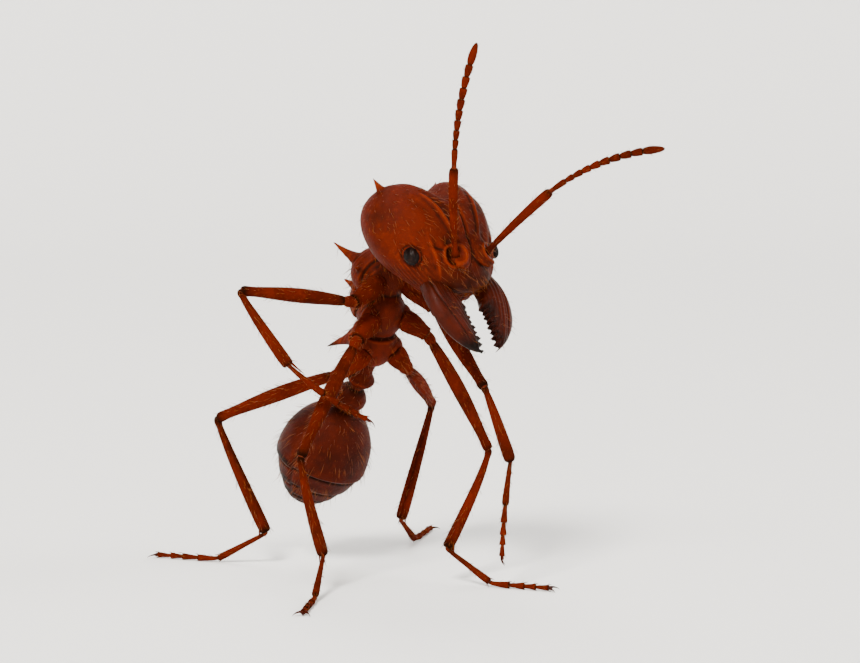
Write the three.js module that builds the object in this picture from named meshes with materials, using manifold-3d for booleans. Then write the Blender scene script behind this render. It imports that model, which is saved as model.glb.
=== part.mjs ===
// A leafcutter ant soldier at life size, standing on its middle and hind feet with the front
// of the body raised, the head bowed and turned to its left, and both fore legs off the ground.
// Millimetres, +Z up. The trunk faces -Y and the ant's left side is +X.
import * as THREE from "three";
import { mergeVertices } from "three/addons/utils/BufferGeometryUtils.js";
import Module from "manifold-3d";

const wasm = await Module();
wasm.setup();

// ---------------------------------------------------------------- driving dimensions

const GAP = 0.12; // the cut that parts one node from the next
const THIN = 0.25; // the least radius of a leg or feeler, short of its tip
const FLOOR = 0; // the level of the flats under the feet
const MIDDLE = { x: 0.3, y: -0.2 }; // the middle of the standing ant's box, moved to the origin

const HEAD = { length: 4.6, width: 5.0, depth: 3.5, cleft: 0.95, cleftWidth: 0.85 };
const EYE = { radii: [0.2, 0.33, 0.27], direction: [0.93, -0.22, 0.3] };
const OCCIPITAL_SPINE = { length: 0.5, radius: 0.22 };
const FRONTAL_LOBE = { radii: [0.36, 0.72, 0.3], direction: [0.22, -0.42, 0.88] };
const MANDIBLE = { length: 2.35, width: 1.45, thickness: 0.62, teeth: 7, open: 5 };
const ANTENNA = { scape: 3.1, funiculus: 4.1, joints: 10, ball: 0.3, radius: 0.27 };

const TRUNK = { prosuture: 1.9, groove: 3.2, end: 4.75 };
const SPINE_RADIUS = 0.26;
const WAIST = { petiole: 1.25, postpetiole: 0.95 };
const GASTER = { length: 4.1, width: 3.3, depth: 3.1, firstPlate: 0.62 };

// root: where the leg leaves the trunk, in the trunk's frame, on the left side.
const LEGS = {
  fore: { root: [0.42, 1.2, -0.62], coxa: 1.5, femur: 4.0, tibia: 3.0, tarsus: 3.3 },
  mid: { root: [0.5, 2.55, -0.85], coxa: 1.15, femur: 4.6, tibia: 3.7, tarsus: 3.8 },
  hind: { root: [0.48, 3.85, -0.75], coxa: 1.2, femur: 5.4, tibia: 4.5, tarsus: 4.5 },
};
const LEG_RADIUS = { coxa: 0.44, femur: 0.33, tibia: 0.27, tarsus: 0.2 };
const TARSAL_JOINTS = 5;
const CLAW = { length: 0.34, radius: 0.13 };
const JOINT_OVERRUN = 0.25; // how far a piece is drawn past its joint before the joint cuts it

// ---------------------------------------------------------------- the pose

const NECK = v3(0, -0.6, 11.9); // where the trunk meets the head
const TRUNK_PITCH = 68; // degrees above the horizontal
const HEAD_PITCH = -46;
const HEAD_YAW = 16; // to the ant's left
const NECK_ON_HEAD = [0, 1.35, -1.5]; // from the middle of the head
const COLLAR = { radius: 0.36, cut: -0.1, end: 0.9 }; // along the trunk, from the neck
const STALK = { bend: [0.05, -0.6, -0.1], root: [0, 0.6, -0.75] }; // in the trunk's and the head's frame

const ABDOMEN = {
  petiole: v3(-0.1, 0.62, -0.78),
  postpetiole: v3(-0.16, 0.6, -0.78),
  gaster: v3(-0.22, 0.42, -0.88),
};

// Each feeler: the way of the scape and its bow, then of the two halves of the whip.
const FEELERS = {
  right: {
    scape: v3(-0.18, -0.27, 1),
    bow: v3(-0.09, 0, 0),
    first: v3(-0.03, -0.1, 1),
    last: v3(0.24, -0.24, 0.95),
  },
  left: {
    scape: v3(0.5, -0.58, 0.72),
    bow: v3(-0.04, 0.03, 0.08),
    first: v3(0.64, -0.49, 0.6),
    last: v3(0.82, -0.59, 0.08),
  },
};

// coxa: the way the first joint points. ankle: the end of the tibia. bend: the way the knee
// stands out. toes: the heading of a standing foot, in degrees. hang: the ways of the two halves
// of a raised foot. All are in the frame of the whole ant.
const STANCES = {
  fore_right: {
    coxa: v3(-0.85, -0.3, -0.45),
    ankle: v3(-4.3, -1.5, 7.9),
    bend: v3(-1, 0.45, 0.8),
    hang: [v3(0.7, -0.18, -0.68), v3(0.85, -0.2, -0.45)],
  },
  fore_left: {
    coxa: v3(0.6, -0.45, -0.66),
    ankle: v3(2.8, -4.0, 4.5),
    bend: v3(-0.4, -1, 0.2),
    hang: [v3(-0.1, 0.1, -1), v3(-0.1, -0.1, -0.98)],
  },
  mid_right: {
    coxa: v3(-0.75, -0.35, -0.55),
    ankle: v3(-2.75, -0.9, 1.25),
    bend: v3(-1, -0.3, 0.3),
    toes: 232,
  },
  mid_left: {
    coxa: v3(0.75, -0.35, -0.55),
    ankle: v3(1.5, -1.95, 1.25),
    bend: v3(1, -0.2, 0.3),
    toes: 312,
  },
  hind_right: {
    coxa: v3(-0.7, 0.3, -0.65),
    ankle: v3(-2.5, 4.0, 1.2),
    bend: v3(-0.8, 0.8, 0.8),
    toes: 130,
  },
  hind_left: {
    coxa: v3(0.7, 0.3, -0.65),
    ankle: v3(2.9, 3.8, 1.2),
    bend: v3(0.9, 0.7, 0.8),
    toes: 45,
  },
};

// ---------------------------------------------------------------- helpers

const SIDES = { right: -1, left: 1 };

function v3(x, y, z) {
  return new THREE.Vector3(x, y, z);
}

const { degToRad, lerp, smoothstep } = THREE.MathUtils;

/** A closed geometry as a solid that can be joined and cut. */
function solid(geometry) {
  const bare = geometry.clone();
  bare.deleteAttribute("normal");
  bare.deleteAttribute("uv");
  const merged = mergeVertices(bare, 1e-5);
  return new wasm.Manifold(
    new wasm.Mesh({
      numProp: 3,
      vertProperties: merged.attributes.position.array,
      triVerts: new Uint32Array(merged.index.array),
    }),
  );
}

/** The largest closed body of a solid, as a geometry for a mesh. */
function geometryOf(body) {
  const whole = body.decompose().reduce((a, b) => (b.volume() > a.volume() ? b : a));
  const mesh = whole.getMesh();
  const positions = new Float32Array(mesh.numVert * 3);
  for (let i = 0; i < mesh.numVert; i++)
    positions.set(mesh.vertProperties.subarray(i * mesh.numProp, i * mesh.numProp + 3), i * 3);
  const geometry = new THREE.BufferGeometry();
  geometry.setAttribute("position", new THREE.BufferAttribute(positions, 3));
  geometry.setIndex(new THREE.BufferAttribute(mesh.triVerts, 1));
  geometry.computeVertexNormals();
  return geometry;
}

/** Solids joined into one. */
function fuse(...solids) {
  return solids.reduce((a, b) => a.add(b));
}

/** A solid moved by a matrix. */
function moved(body, matrix) {
  return body.transform(matrix.elements);
}

/** The part of a solid in front of the plane through point, square to normal. */
function inFront(body, point, normal, distance = GAP / 2) {
  const n = normal.clone().normalize();
  return body.trimByPlane([n.x, n.y, n.z], n.dot(point) + distance);
}

/** A ball pulled to three radii round a centre. */
function ellipsoid(centre, radii, grow = 0, sides = 16, rings = 10) {
  const ball = new THREE.SphereGeometry(1, sides, rings);
  ball.scale(radii[0] + grow, radii[1] + grow, radii[2] + grow);
  ball.translate(...centre);
  return solid(ball);
}

/** A round bar along a curve, with radiusAt(0..1) for its radius and softly rounded ends. */
function limb(curve, radiusAt, options = {}) {
  const { sides = 10, steps = 10, wide = 1, up = v3(0, 0, 1), blunt = 0.12 } = options;
  const geometry = new THREE.SphereGeometry(1, sides, steps);
  const position = geometry.attributes.position;
  const unit = v3();
  for (let i = 0; i < position.count; i++) {
    unit.fromBufferAttribute(position, i);
    const t = Math.acos(THREE.MathUtils.clamp(unit.y, -1, 1)) / Math.PI;
    const ring = Math.hypot(unit.x, unit.z);
    const tangent = curve.getTangentAt(t);
    const across = up.clone().addScaledVector(tangent, -up.dot(tangent)).normalize();
    const beside = tangent.clone().cross(across);
    const end = Math.min(1, Math.min(t, 1 - t) / blunt);
    const radius = radiusAt(t) * Math.sqrt(1 - (1 - end) ** 2);
    const point = curve.getPointAt(t);
    if (ring > 1e-6) {
      point.addScaledVector(across, (unit.x / ring) * radius * wide);
      point.addScaledVector(beside, (unit.z / ring) * radius);
    }
    position.setXYZ(i, point.x, point.y, point.z);
  }
  return solid(geometry);
}

/** A curved spine: a cone from its sunk root to its tip. */
function spine(root, direction, length, radius, lean = v3(0, 0, 0), sides = 8) {
  const way = direction.clone().normalize();
  const start = root.clone().addScaledVector(way, -radius);
  const tip = root.clone().addScaledVector(way, length).add(lean);
  const middle = root.clone().addScaledVector(way, length * 0.45);
  const curve = new THREE.QuadraticBezierCurve3(start, middle, tip);
  const taper = (t) => lerp(radius, radius * 0.14, t ** 0.8);
  return limb(curve, taper, { sides, steps: 7, up: v3(0.3, 1, 0.2), blunt: 0.08 });
}

/** A straight line as a curve. */
function line(from, to) {
  return new THREE.LineCurve3(from, to);
}

function material(colour, roughness) {
  return new THREE.MeshStandardMaterial({ color: colour, roughness, metalness: 0 });
}

const CUTICLE = material("#8f3012", 0.5);
const LIMB_CUTICLE = material("#9a3a18", 0.5);
const TOOTH = material("#3a140a", 0.35);
const EYE_DARK = material("#120a08", 0.25);

// ---------------------------------------------------------------- frames of the head and trunk

const trunkMatrix = new THREE.Matrix4()
  .makeRotationX(-degToRad(TRUNK_PITCH))
  .setPosition(NECK);

const headTurn = new THREE.Matrix4().makeRotationFromEuler(
  new THREE.Euler(-degToRad(HEAD_PITCH), 0, degToRad(HEAD_YAW), "ZXY"),
);
const headMiddle = NECK.clone().sub(v3(...NECK_ON_HEAD).applyMatrix4(headTurn));
const headMatrix = headTurn.clone().setPosition(headMiddle);

// ---------------------------------------------------------------- head

/** The point of the head's surface that lies in a direction from its middle, +Y to the back. */
function headPoint(x, y, z, grow = 0) {
  const length = Math.hypot(x, y, z);
  const [ux, uy, uz] = [x / length, y / length, z / length];
  const blunt = uy < 0 ? 0.6 : 0.72;
  const ring = Math.hypot(ux, uz);
  const along = Math.sign(uy) * Math.abs(uy) ** blunt;
  const round = ring > 1e-6 ? ring ** (blunt - 1) : 0;
  const broad = lerp(0.7, 1, smoothstep(along, -1, 0.25));
  const deep = lerp(0.6, 1, smoothstep(along, -1, 0.15)) * (uz < 0 ? 0.84 : 1);
  const point = v3(
    ux * round * broad * (HEAD.width / 2 + grow),
    along * (HEAD.length / 2 + grow),
    uz * round * deep * (HEAD.depth / 2 + grow),
  );
  const cleft = Math.exp(-((point.x / HEAD.cleftWidth) ** 2)) * smoothstep(along, 0, 1);
  point.y -= HEAD.cleft * cleft;
  point.z -= Math.max(0, uz) * 0.4 * Math.exp(-((point.x / 0.5) ** 2)) * smoothstep(along, -0.2, 0.8);
  return point;
}

function headCapsule(grow = 0) {
  const geometry = new THREE.SphereGeometry(1, 32, 20);
  const position = geometry.attributes.position;
  for (let i = 0; i < position.count; i++) {
    const point = headPoint(position.getX(i), position.getY(i), position.getZ(i), grow);
    position.setXYZ(i, point.x, point.y, point.z);
  }
  return solid(geometry);
}

/** The clypeus: the low plate along the front edge of the head, between the mandibles. */
function clypeus() {
  const plate = new THREE.SphereGeometry(1, 14, 8);
  plate.scale(1.15, 0.55, 0.5);
  plate.translate(0, -HEAD.length / 2 + 0.38, 0.3);
  return solid(plate);
}

/** The upper lip that hangs under the clypeus, and the mouth behind it. */
function mouth() {
  const lip = ellipsoid([0, -HEAD.length / 2 + 0.18, -0.28], [0.5, 0.24, 0.4], 0, 12, 8);
  const throat = ellipsoid([0, -HEAD.length / 2 + 0.38, -0.76], [0.42, 0.36, 0.34], 0, 10, 8);
  return fuse(lip, throat);
}

function frontalLobe(side) {
  const [x, y, z] = FRONTAL_LOBE.direction;
  const seat = headPoint(x * side, y, z);
  const lobe = new THREE.SphereGeometry(1, 10, 8);
  lobe.scale(...FRONTAL_LOBE.radii);
  lobe.rotateZ(side * 0.32);
  lobe.rotateX(0.28);
  lobe.translate(seat.x, seat.y, seat.z - 0.03);
  return solid(lobe);
}

function occipitalSpine(side) {
  const root = headPoint(side * 0.62, 0.7, 0.36);
  const way = v3(side * 0.45, 0.75, 0.35);
  return spine(root, way, OCCIPITAL_SPINE.length, OCCIPITAL_SPINE.radius);
}

/** Where the scape turns in the head: just outside the frontal lobe. */
function antennaSeat(side) {
  const seat = headPoint(side * 0.36, -0.5, 0.78);
  return seat.add(v3(side * 0.02, 0, 0.05));
}

function eyeBall(side, grow = 0) {
  const [x, y, z] = EYE.direction;
  const seat = headPoint(x * side, y, z);
  const ball = new THREE.SphereGeometry(1, 12, 8);
  ball.scale(...EYE.radii.map((r) => r + grow));
  ball.rotateY(-side * 0.28);
  ball.translate(seat.x - side * 0.02, seat.y, seat.z);
  return solid(ball);
}

/** One mandible: a wedge of a blade, thick along its outer edge, with teeth along the inner one. */
function mandibleBlade(side) {
  const { length, width, thickness, teeth, open } = MANDIBLE;
  const outline = new THREE.Shape();
  outline.moveTo(0.36, 0.5);
  outline.bezierCurveTo(0.66, -0.5, 0.42, -1.75, -width * 0.62, -length * 0.96);
  const apex = new THREE.Vector2(-width * 0.82, -length);
  const heel = new THREE.Vector2(-width * 0.62, -length * 0.34);
  outline.lineTo(apex.x, apex.y);
  for (let i = 1; i <= teeth; i++) {
    const size = lerp(0.24, 0.13, i / teeth);
    const valley = apex.clone().lerp(heel, (i - 0.45) / teeth);
    const point = apex.clone().lerp(heel, i / teeth);
    outline.lineTo(valley.x + size, valley.y);
    outline.lineTo(point.x, point.y);
  }
  outline.bezierCurveTo(-0.6, -0.55, -0.5, -0.2, -0.45, 0.5);
  outline.closePath();
  const blade = new THREE.ExtrudeGeometry(outline, { depth: 1, curveSegments: 9, bevelEnabled: false });
  const position = blade.attributes.position;
  for (let i = 0; i < position.count; i++) {
    const reach = THREE.MathUtils.clamp(-position.getY(i) / length, 0, 1);
    const inner = THREE.MathUtils.clamp(-position.getX(i) / width, 0, 1);
    const thick = thickness * lerp(1.15, 0.75, reach) * lerp(1, 0.5, inner);
    position.setZ(i, (position.getZ(i) - 0.5) * thick - 0.42 * reach ** 2);
  }
  const hinge = new THREE.Matrix4()
    .makeRotationZ(degToRad(open))
    .setPosition(v3(HEAD.width * 0.235, -HEAD.length / 2 + 0.28, -0.12));
  const placed = moved(solid(blade), hinge);
  return side > 0 ? placed : placed.mirror([1, 0, 0]);
}

/** A feeler's first piece, from its ball in the head to the elbow, in the frame of the whole ant. */
function scape(seat, elbow, bow, grow = 0) {
  const middle = seat.clone().lerp(elbow, 0.45).add(bow);
  const curve = new THREE.QuadraticBezierCurve3(seat, middle, elbow);
  const radius = (t) => lerp(THIN, ANTENNA.radius, t) + grow;
  const ball = ellipsoid(seat.toArray(), [ANTENNA.ball, ANTENNA.ball, ANTENNA.ball], grow, 10, 8);
  return fuse(limb(curve, radius, { sides: 8, steps: 8, blunt: 0.06 }), ball);
}

/** The rest of the feeler: ten beads that grow to the last one and end in a round tip. */
function funiculus(elbow, turn, tip) {
  const curve = new THREE.QuadraticBezierCurve3(elbow, turn, tip);
  const bead = (t) => 1 - 0.13 * Math.abs(Math.cos(Math.PI * t * ANTENNA.joints)) ** 6;
  const taper = (t) => lerp(THIN, ANTENNA.radius, t) * (1 - 0.35 * smoothstep(t, 0.88, 1));
  return limb(curve, (t) => taper(t) * bead(t), { sides: 8, steps: ANTENNA.joints * 2, blunt: 0.05 });
}

// ---------------------------------------------------------------- trunk and waist

/** The whole trunk in its own frame: the neck at the origin, +Y to the back, +Z to the top. */
function trunkWhole(grow = 0) {
  const lumps = [
    [[0, 1.28, 0.08], [1.12, 0.96, 0.98]],
    [[0, 1.15, -0.42], [0.7, 0.86, 0.64]],
    [[0, 2.42, 0.2], [0.88, 0.98, 0.95]],
    [[0, 2.55, -0.4], [0.84, 1.05, 0.84]],
    [[0, 3.86, -0.05], [0.75, 0.96, 0.78]],
    [[0, 3.75, -0.48], [0.8, 0.9, 0.6]],
  ].map(([centre, radii]) => ellipsoid(centre, radii, grow, 16, 10));
  const collarLine = line(v3(0, COLLAR.cut - 0.3, 0), v3(0, COLLAR.end, -0.05));
  const collar = limb(collarLine, () => COLLAR.radius + grow, { sides: 12, steps: 6, up: v3(1, 0, 0) });
  return inFront(fuse(...lumps, collar), v3(0, COLLAR.cut, 0), v3(0, 1, 0));
}

/** The neck, which bends from the back of the head down to the collar of the trunk. */
function neckStalk() {
  const root = v3(...STALK.root).applyMatrix4(headMatrix).applyMatrix4(trunkMatrix.clone().invert());
  const curve = new THREE.QuadraticBezierCurve3(v3(0, 0.3, 0), v3(...STALK.bend), root);
  const stalk = limb(curve, () => COLLAR.radius, { sides: 12, steps: 9, up: v3(1, 0, 0) });
  return moved(inFront(stalk, v3(0, COLLAR.cut, 0), v3(0, -1, 0)), trunkMatrix);
}

/** The three pairs of spines on the back, and the small tooth low on each shoulder. */
function trunkSpines(side) {
  return {
    pronotum: [
      spine(v3(side * 0.78, 0.98, 0.62), v3(side * 0.8, -0.3, 0.62), 0.95, SPINE_RADIUS, v3(0, -0.16, 0.06)),
      spine(v3(side * 0.98, 1.05, -0.05), v3(side * 0.8, -0.4, -0.35), 0.36, 0.17),
    ],
    mesonotum: [spine(v3(side * 0.42, 2.2, 0.92), v3(side * 0.42, -0.1, 0.9), 0.6, SPINE_RADIUS * 0.9)],
    propodeum: [
      spine(v3(side * 0.42, 4.05, 0.55), v3(side * 0.42, 0.55, 0.75), 1.1, SPINE_RADIUS, v3(0, 0.14, 0)),
    ],
  };
}

const PROSUTURE = { point: v3(0, TRUNK.prosuture, 0), normal: v3(0, 1, 0.06) };
const GROOVE = { point: v3(0, TRUNK.groove, 0), normal: v3(0, 1, 0.14) };

function trunkNodes(headGrown) {
  const whole = trunkWhole();
  const [right, left] = [trunkSpines(-1), trunkSpines(1)];
  const back = (plane) => plane.normal.clone().negate();
  const nodes = {
    pronotum: fuse(inFront(whole, PROSUTURE.point, back(PROSUTURE)), ...right.pronotum, ...left.pronotum),
    mesothorax: fuse(
      inFront(inFront(whole, PROSUTURE.point, PROSUTURE.normal), GROOVE.point, back(GROOVE)),
      ...right.mesonotum,
      ...left.mesonotum,
    ),
    propodeum: fuse(inFront(whole, GROOVE.point, GROOVE.normal), ...right.propodeum, ...left.propodeum),
  };
  for (const name of Object.keys(nodes)) nodes[name] = moved(nodes[name], trunkMatrix).subtract(headGrown);
  return nodes;
}

/** The two waist pieces and the gaster, hung in a chain from the end of the trunk. */
function abdomenNodes(trunkGrown) {
  const petioleWay = ABDOMEN.petiole.clone().normalize();
  const postWay = ABDOMEN.postpetiole.clone().normalize();
  const gasterWay = ABDOMEN.gaster.clone().normalize();
  const start = v3(0, TRUNK.end - 0.25, -0.3).applyMatrix4(trunkMatrix);
  const petioleEnd = start.clone().addScaledVector(petioleWay, WAIST.petiole);
  const postEnd = petioleEnd.clone().addScaledVector(postWay, WAIST.postpetiole);
  const up = v3(0, 1, 0.6).normalize();

  const hump = (t) => 0.3 + 0.27 * Math.exp(-(((t - 0.66) / 0.2) ** 2));
  const petioleLine = line(start, petioleEnd.clone().addScaledVector(petioleWay, 0.1));
  const petiole = fuse(
    limb(petioleLine, hump, { sides: 12, steps: 12, up }),
    ...Object.values(SIDES).map((side) => petioleTooth(side, start.clone().lerp(petioleEnd, 0.62))),
  );
  const bulb = (t) => 0.3 + 0.32 * Math.sin(Math.PI * t) ** 1.2;
  const postLine = line(
    petioleEnd.clone().addScaledVector(postWay, -0.1),
    postEnd.clone().addScaledVector(postWay, 0.25),
  );
  const postpetiole = limb(postLine, bulb, { sides: 14, steps: 10, wide: 0.85, up });
  const matrix = frameAlong(postEnd, gasterWay, up);
  const gaster = moved(gasterWhole(), matrix);
  const plateEnd = v3(0, GASTER.length * GASTER.firstPlate, 0).applyMatrix4(matrix);
  return {
    petiole: inFront(petiole.subtract(trunkGrown), petioleEnd, postWay.clone().negate()),
    postpetiole: inFront(postpetiole, petioleEnd, postWay).subtract(moved(gasterWhole(GAP), matrix)),
    gaster_front: inFront(gaster, plateEnd, gasterWay.clone().negate(), GAP / 3),
    gaster_rear: inFront(gaster, plateEnd, gasterWay, GAP / 3),
  };
}

/** One of the pair of small teeth on top of the first waist piece. */
function petioleTooth(side, middle) {
  return spine(middle.add(v3(side * 0.26, 0.3, 0.22)), v3(side * 0.5, 0.8, 0.4), 0.2, 0.15);
}

/** A matrix that carries +Y to a direction and +Z towards up, from the origin to a point. */
function frameAlong(point, direction, up) {
  const top = up.clone().addScaledVector(direction, -up.dot(direction)).normalize();
  const beside = direction.clone().cross(top);
  return new THREE.Matrix4().makeBasis(beside, direction, top).setPosition(point);
}

/** The gaster from its front end at the origin to its tip, with a small step at each plate. */
function gasterWhole(grow = 0) {
  const geometry = new THREE.SphereGeometry(1, 28, 28);
  const position = geometry.attributes.position;
  for (let i = 0; i < position.count; i++) {
    const along = (1 + position.getY(i)) / 2;
    const step = 1 - 0.035 * smoothstep(((along * 5.2 + 0.9) % 1), 0.75, 1) * smoothstep(along, 0.5, 0.62);
    const taper = lerp(1.04, 0.78, smoothstep(along, 0.45, 1));
    position.setXYZ(
      i,
      position.getX(i) * (GASTER.width / 2 + grow) * taper * step,
      along * (GASTER.length + 2 * grow) - grow,
      position.getZ(i) * (GASTER.depth / 2 + grow) * taper * step,
    );
  }
  return solid(geometry);
}

// ---------------------------------------------------------------- legs

/** The knee of a leg of two straight pieces between hip and ankle, bent towards a direction. */
function kneeOf(hip, ankle, femur, tibia, bend) {
  const way = ankle.clone().sub(hip);
  const distance = Math.min(way.length(), femur + tibia - 0.02);
  way.normalize();
  const along = (femur ** 2 - tibia ** 2 + distance ** 2) / (2 * distance);
  const out = Math.sqrt(Math.max(0, femur ** 2 - along ** 2));
  const side = bend.clone().addScaledVector(way, -bend.dot(way)).normalize();
  return hip.clone().addScaledVector(way, along).addScaledVector(side, out);
}

/** The line of a standing foot: its first piece slants down straight, the others lie on the floor. */
function standingFoot(ankle, length, toes) {
  const heading = v3(Math.cos(degToRad(toes)), Math.sin(degToRad(toes)), 0);
  const at = (out, height) => v3(ankle.x, ankle.y, height).addScaledVector(heading, out * length);
  const ball = at(0.41, 0.22);
  const shank = [-0.12, 0.45, 0.85].map((share) => ankle.clone().lerp(ball, share));
  const sole = [at(0.47, 0.18), at(0.76, 0.17), at(0.97, 0.19)];
  return new THREE.CatmullRomCurve3([...shank, ...sole]);
}

/** The line of a raised foot: a soft arc from the ankle that hangs down towards its claws. */
function raisedFoot(ankle, length, hang) {
  const [start, end] = hang.map((way) => way.clone().normalize());
  const heel = ankle.clone().addScaledVector(start, -0.18);
  const middle = ankle.clone().addScaledVector(start, length * 0.5);
  const tip = middle.clone().addScaledVector(end, length * 0.5);
  return new THREE.QuadraticBezierCurve3(heel, middle, tip);
}

/** The foot's radius, which narrows to the tip and pinches in between its five pieces. */
function toeRadius(t) {
  const pinch = Math.exp(-((((t * (TARSAL_JOINTS + 0.6) + 0.35) % 1) - 0.5) ** 2) / 0.006);
  return lerp(THIN, LEG_RADIUS.tarsus, t) * (1 - 0.12 * pinch * smoothstep(t, 0.3, 0.4));
}

/** The two claws at the tip of a foot. */
function claws(curve) {
  const tip = curve.getPointAt(0.97);
  const way = curve.getTangentAt(1);
  const side = way.clone().cross(v3(0, 0, 1)).normalize();
  return [-1, 1].map((s) => {
    const out = way.clone().multiplyScalar(0.62).addScaledVector(side, s * 0.75);
    return spine(tip, out, CLAW.length, CLAW.radius, v3(0, 0, -0.08), 6);
  });
}

function legNodes(pair, sideName, trunkGrown) {
  const side = sideName === "left" ? 1 : -1;
  const sizes = LEGS[pair];
  const name = `${pair}_${sideName}`;
  const { coxa: aim, ankle, bend, toes, hang } = STANCES[name];
  const [x, y, z] = sizes.root;
  const root = v3(side * x, y, z).applyMatrix4(trunkMatrix);
  const coxaWay = aim.clone().normalize();
  const hip = root.clone().addScaledVector(coxaWay, sizes.coxa);
  const knee = kneeOf(hip, ankle, sizes.femur, sizes.tibia, bend);
  const femurWay = knee.clone().sub(hip).normalize();
  const tibiaWay = ankle.clone().sub(knee).normalize();
  const foot = hang ? raisedFoot(ankle, sizes.tarsus, hang) : standingFoot(ankle, sizes.tarsus, toes);
  const past = (point, way, sign) => point.clone().addScaledVector(way, sign * JOINT_OVERRUN);

  const coxaBar = line(root, past(hip, coxaWay, 0.7));
  const coxa = limb(coxaBar, (t) => LEG_RADIUS.coxa * lerp(1.06, 0.7, t), { sides: 10, steps: 6 });
  const trochanter = (t) => 0.05 * Math.exp(-(((t - 0.05) / 0.05) ** 2));
  const belly = (t) => Math.sin(Math.PI * Math.min(1, t * 1.1)) ** 0.7;
  const thigh = (t) => lerp(THIN, LEG_RADIUS.femur, belly(t)) + trochanter(t);
  const femurBar = line(past(hip, femurWay, -1), past(knee, femurWay, 1));
  const femur = limb(femurBar, thigh, { sides: 8, steps: 11, blunt: 0.07 });
  const shin = (t) => lerp(THIN, LEG_RADIUS.tibia, smoothstep(t, 0, 0.8));
  const tibiaBar = line(past(knee, tibiaWay, -1), past(ankle, tibiaWay, 0.8));
  const tibia = limb(tibiaBar, shin, { sides: 8, steps: 8, blunt: 0.07 });
  const tarsus = fuse(limb(foot, toeRadius, { sides: 8, steps: 16, blunt: 0.04 }), ...claws(foot));

  const hipWay = coxaWay.clone().add(femurWay);
  const kneeWay = femurWay.clone().add(tibiaWay);
  const ankleWay = tibiaWay.clone().add(foot.getTangentAt(0.08));
  const back = (way) => way.clone().negate();
  const onFloor = (body) => (hang ? body : body.trimByPlane([0, 0, 1], FLOOR));
  return {
    [`${name}_coxa`]: inFront(coxa.subtract(trunkGrown), hip, back(hipWay)),
    [`${name}_femur`]: inFront(inFront(femur, hip, hipWay), knee, back(kneeWay)),
    [`${name}_tibia`]: inFront(inFront(tibia, knee, kneeWay), ankle, back(ankleWay)),
    [`${name}_tarsus`]: onFloor(inFront(tarsus, ankle, ankleWay)),
  };
}

// ---------------------------------------------------------------- the whole ant

const group = new THREE.Group();
const ant = new THREE.Group();
ant.position.set(-MIDDLE.x, -MIDDLE.y, 0);
group.add(ant);

function addNode(name, body, finish) {
  const mesh = new THREE.Mesh(geometryOf(body), finish);
  mesh.name = name;
  ant.add(mesh);
}

function addNodes(bodies, finish) {
  for (const [name, body] of Object.entries(bodies)) addNode(name, body, finish);
}

const trunkGrown = moved(trunkWhole(GAP), trunkMatrix);
const headGrown = moved(headCapsule(GAP), headMatrix);

let head = fuse(headCapsule(), clypeus(), mouth());
for (const side of Object.values(SIDES)) {
  head = fuse(head, frontalLobe(side), occipitalSpine(side)).subtract(eyeBall(side, GAP * 0.6));
}
head = fuse(moved(head, headMatrix), neckStalk());

for (const [sideName, side] of Object.entries(SIDES)) {
  const plan = FEELERS[sideName];
  const scapeWay = plan.scape.clone().normalize();
  const firstWay = plan.first.clone().normalize();
  const lastWay = plan.last.clone().normalize();
  const seat = antennaSeat(side).applyMatrix4(headMatrix);
  const elbow = seat.clone().addScaledVector(scapeWay, ANTENNA.scape);
  const turn = elbow.clone().addScaledVector(firstWay, ANTENNA.funiculus / 2);
  const tip = turn.clone().addScaledVector(lastWay, ANTENNA.funiculus / 2);
  const shaftEnd = elbow.clone().addScaledVector(scapeWay, JOINT_OVERRUN);
  const whip = funiculus(elbow.clone().addScaledVector(firstWay, -JOINT_OVERRUN), turn, tip);
  const fold = scapeWay.clone().add(firstWay);
  const shaft = scape(seat, shaftEnd, plan.bow);
  head = head.subtract(scape(seat, shaftEnd, plan.bow, GAP));
  addNode(`antenna_${sideName}_scape`, inFront(shaft, elbow, fold.clone().negate()), LIMB_CUTICLE);
  addNode(`antenna_${sideName}_funiculus`, inFront(whip, elbow, fold), LIMB_CUTICLE);
  addNode(`mandible_${sideName}`, moved(mandibleBlade(side), headMatrix).subtract(headGrown), TOOTH);
  addNode(`eye_${sideName}`, moved(eyeBall(side), headMatrix), EYE_DARK);
}
addNode("head", head, CUTICLE);

addNodes(trunkNodes(headGrown), CUTICLE);
addNodes(abdomenNodes(trunkGrown), CUTICLE);
for (const pair of Object.keys(LEGS))
  for (const sideName of Object.keys(SIDES)) addNodes(legNodes(pair, sideName, trunkGrown), LIMB_CUTICLE);

export default group;
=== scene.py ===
"""The looks of a leafcutter ant soldier at life size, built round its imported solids.

Shapes are modelled in millimetres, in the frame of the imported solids, and brought to metres when they
are handed over. The trunk faces -Y and the ant's left side is +X.
"""
import logging
import math
from collections.abc import Callable, Iterator, Sequence
from contextlib import contextmanager
from dataclasses import dataclass, field, replace
from enum import Enum
from typing import ClassVar

import bpy
import numpy as np
from bpy.types import Material, Node, NodeSocket, NodeTree, Object, bpy_prop_collection
from mathutils import Matrix, Vector
from mathutils.kdtree import KDTree


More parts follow.
